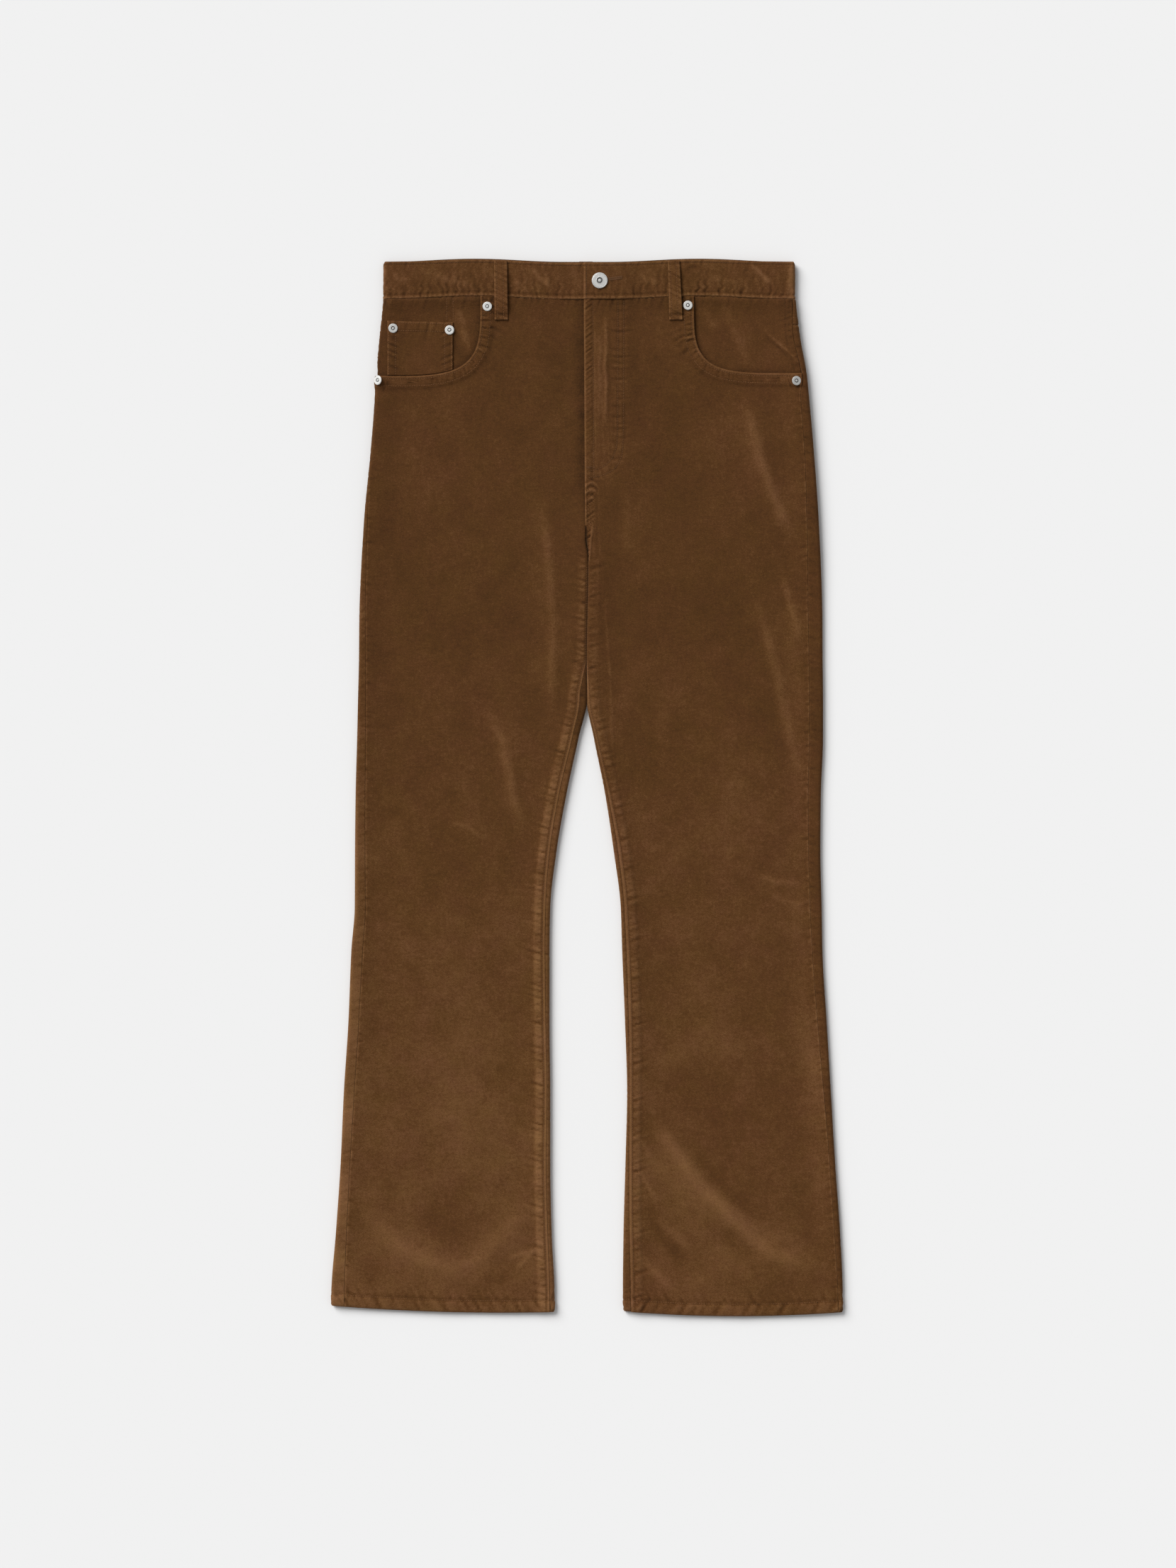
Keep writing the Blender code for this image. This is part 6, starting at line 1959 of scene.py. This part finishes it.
def bar_rows():
    """Close zigzag bars at the foot of the fly."""
    x = np.linspace(-1.0, 8.5, 30)
    zigzag = 0.5 * np.sign(np.sin(np.arange(30) * 1.6))
    return [on_front(LEFT, np.stack([x, y + zigzag], -1)) for y in FLY_BARS]


def buttonhole_rows():
    """Close stitches round the buttonhole's slit and eyelet."""
    turn = Matrix.Rotation(SLIT_ANGLE, 2)
    rows = []
    for way in (-1, 1):
        for reach in np.arange(EYELET_RADIUS + 0.4, SLIT_LENGTH + 0.6, 0.62):
            ends = [turn @ Vector((reach + 0.15 * way, way * w)) for w in (SLIT_WIDTH * 0.45, 1.7)]
            line = np.array([(e.x + BUTTON_X, e.y + BUTTON_Y, BAND_OVERLAP + 0.28) for e in ends])
            line = np.linspace(line[0], line[1], 4)
            rows.append((line, np.tile((0.0, 0.0, 1.0), (4, 1))))
    return rows


# ---- stage

FLOOR_DROP = 0.0003
CAMERA_X = 0.0012
CAMERA_Y = 0.0038


def make_stage():
    """The pale floor, soft light from the upper left, and the camera straight above."""
    stage = bpy.context.scene.jeans_stage
    scene = bpy.context.scene
    bpy.ops.object.select_all(action="DESELECT")
    bpy.ops.mesh.primitive_grid_add(x_subdivisions=4, y_subdivisions=4, size=stage.floor_width)
    floor = bpy.context.active_object
    floor.name = floor.data.name = "floor"
    place(floor, Matrix.Translation((0, 0, -FLOOR_DROP)))
    made, tree, place_on = nodes_of("paper_floor")
    grain = noise(tree, place_on, 300.0, 2.0, 0.5)
    level = maths(tree, "ADD", maths(tree, "MULTIPLY", grain, 0.02), 0.5)
    shade = ramped(tree, level, [0.97 * part for part in stage.floor], [1.03 * part for part in stage.floor])
    settle(tree, shade.outputs["Color"], Roughness=0.95, Specular_IOR_Level=0.1)
    floor.data.materials.append(made)

    world = bpy.data.worlds.new("studio")
    world.use_nodes = True
    sky = world.node_tree.nodes["Background"]
    sky.inputs["Color"].default_value = (1.0, 1.0, 1.0, 1.0)
    sky.inputs["Strength"].default_value = stage.ambient
    scene.world = world
    key = bpy.data.lights.new("key", "SUN")
    key.energy = stage.key
    key.angle = stage.key_spread
    lamp = bpy.data.objects.new("key", key)
    level = math.cos(stage.key_height) / math.sqrt(2.0)
    lamp.location = (-level, level, math.sin(stage.key_height))
    lamp.rotation_euler = (-lamp.location).to_track_quat("-Z", "Y").to_euler()
    scene.collection.objects.link(lamp)

    lens = bpy.data.cameras.new("camera")
    lens.type = "PERSP"
    lens.sensor_fit = "AUTO"
    lens.sensor_width = 36.0
    lens.lens = lens.sensor_width * stage.camera_height / stage.framed
    lens.clip_end = 100.0
    camera = bpy.data.objects.new("camera", lens)
    camera.location = (CAMERA_X, CAMERA_Y, stage.camera_height)
    scene.collection.objects.link(camera)
    scene.camera = camera
    scene.view_settings.view_transform = "Standard"
    scene.view_settings.look = "None"


# ---- operators

class JEANS_OT_stage(Operator):
    """Lays out the floor, the light and the camera"""
    bl_idname = "jeans.stage"
    bl_label = "Stage"

    def execute(self, context):
        make_stage()
        return {"FINISHED"}


class JEANS_OT_fronts(Operator):
    """Makes the two front leg panels with their scoops, fly and creases"""
    bl_idname = "jeans.fronts"
    bl_label = "Front panels"

    def execute(self, context):
        for side in (RIGHT, LEFT):
            make_front(side)
        return {"FINISHED"}


class JEANS_OT_backs(Operator):
    """Makes the two back leg panels, wrapped round the side folds"""
    bl_idname = "jeans.backs"
    bl_label = "Back panels"

    def execute(self, context):
        for side in (RIGHT, LEFT):
            make_back(side)
        return {"FINISHED"}


class JEANS_OT_yokes(Operator):
    """Makes the two back yokes"""
    bl_idname = "jeans.yokes"
    bl_label = "Yokes"

    def execute(self, context):
        for side in (RIGHT, LEFT):
            make_yoke(side)
        return {"FINISHED"}


class JEANS_OT_pockets(Operator):
    """Makes the hip pocket facings, the coin pocket and the back pockets"""
    bl_idname = "jeans.pockets"
    bl_label = "Pockets"

    def execute(self, context):
        for side in (RIGHT, LEFT):
            make_facing(side)
            make_back_pocket(side)
        make_coin_pocket()
        return {"FINISHED"}


class JEANS_OT_waistband(Operator):
    """Makes the waistband with its buttonhole"""
    bl_idname = "jeans.waistband"
    bl_label = "Waistband"

    def execute(self, context):
        make_waistband()
        return {"FINISHED"}


class JEANS_OT_belt_loops(Operator):
    """Makes the belt loops"""
    bl_idname = "jeans.belt_loops"
    bl_label = "Belt loops"

    def execute(self, context):
        for loop in LOOPS:
            make_loop(loop)
        return {"FINISHED"}


class JEANS_OT_zip(Operator):
    """Makes the closed zip under the fly"""
    bl_idname = "jeans.zip"
    bl_label = "Zip"

    def execute(self, context):
        make_zip()
        return {"FINISHED"}


class JEANS_OT_metal(Operator):
    """Makes the waist button and the rivets"""
    bl_idname = "jeans.metal"
    bl_label = "Button and rivets"

    def execute(self, context):
        make_button()
        make_rivets()
        return {"FINISHED"}


class JEANS_OT_sewing(Operator):
    """Sews the rows of stitching on every piece"""
    bl_idname = "jeans.sewing"
    bl_label = "Stitching"

    def execute(self, context):
        # The two darker threads are the plain thread in painted shade: the deepest for the waistband's rows,
        # the other for rows sunk into the pile, the inseams and the bars.
        bright, deep, wear_and_painted_shade = thread(), thread("thread_deep", 0.5), thread("thread_worn", 0.75)
        sew("stitches_inseams", [inseam_row(RIGHT), inseam_row(LEFT)], wear_and_painted_shade)
        sew("stitches_sunk", [row for side in (RIGHT, LEFT) for row in sunk_rows(side)], wear_and_painted_shade)
        for side in (RIGHT, LEFT):
            sew("stitches_front_" + side.name, front_rows(side), bright)
            sew("stitches_back_" + side.name, back_rows(side), bright)
        sew("stitches_coin_pocket", coin_rows(), bright)
        sew("stitches_waistband", band_rows(), deep)
        sew("stitches_belt_loops", [row for loop in LOOPS for row in loop_rows(loop)], bright)
        sew("stitches_bars", bar_rows() + buttonhole_rows(), wear_and_painted_shade)
        sew("stitches_back_pockets", pocket_rows(-1) + pocket_rows(1), bright)
        return {"FINISHED"}


class JEANS_PT_panel(Panel):
    """Lists the steps that build the jeans, and their settings"""
    bl_idname = "JEANS_PT_panel"
    bl_label = "Velvet jeans"
    bl_space_type = "VIEW_3D"
    bl_region_type = "UI"
    bl_category = "Jeans"

    def draw(self, context):
        for group in ("jeans_cloth", "jeans_sewing", "jeans_metal", "jeans_stage"):
            settings = getattr(context.scene, group)
            box = self.layout.box()
            for name in settings.bl_rna.properties.keys():
                if name not in ("rna_type", "name"):
                    box.prop(settings, name)
        for operator in OPERATORS:
            self.layout.operator(operator.bl_idname)


OPERATORS = (JEANS_OT_stage, JEANS_OT_fronts, JEANS_OT_backs, JEANS_OT_yokes, JEANS_OT_pockets,
             JEANS_OT_waistband, JEANS_OT_belt_loops, JEANS_OT_zip, JEANS_OT_metal, JEANS_OT_sewing)
GROUPS = {"jeans_cloth": JeansCloth, "jeans_sewing": JeansSewing, "jeans_metal": JeansMetal,
          "jeans_stage": JeansStage}


def register():
    """Registers the settings, the operators and the panel."""
    for kind in (*GROUPS.values(), *OPERATORS, JEANS_PT_panel):
        bpy.utils.register_class(kind)
    for name, kind in GROUPS.items():
        setattr(bpy.types.Scene, name, PointerProperty(type=kind))


def unregister():
    """Removes what register added."""
    for name in GROUPS:
        delattr(bpy.types.Scene, name)
    for kind in reversed((*GROUPS.values(), *OPERATORS, JEANS_PT_panel)):
        bpy.utils.unregister_class(kind)


def main():
    """Builds the jeans step by step."""
    register()
    bpy.ops.jeans.stage()
    bpy.ops.jeans.fronts()
    bpy.ops.jeans.backs()
    bpy.ops.jeans.yokes()
    bpy.ops.jeans.pockets()
    bpy.ops.jeans.waistband()
    bpy.ops.jeans.belt_loops()
    bpy.ops.jeans.zip()
    bpy.ops.jeans.metal()
    bpy.ops.jeans.sewing()


if __name__ == "__main__":
    main()
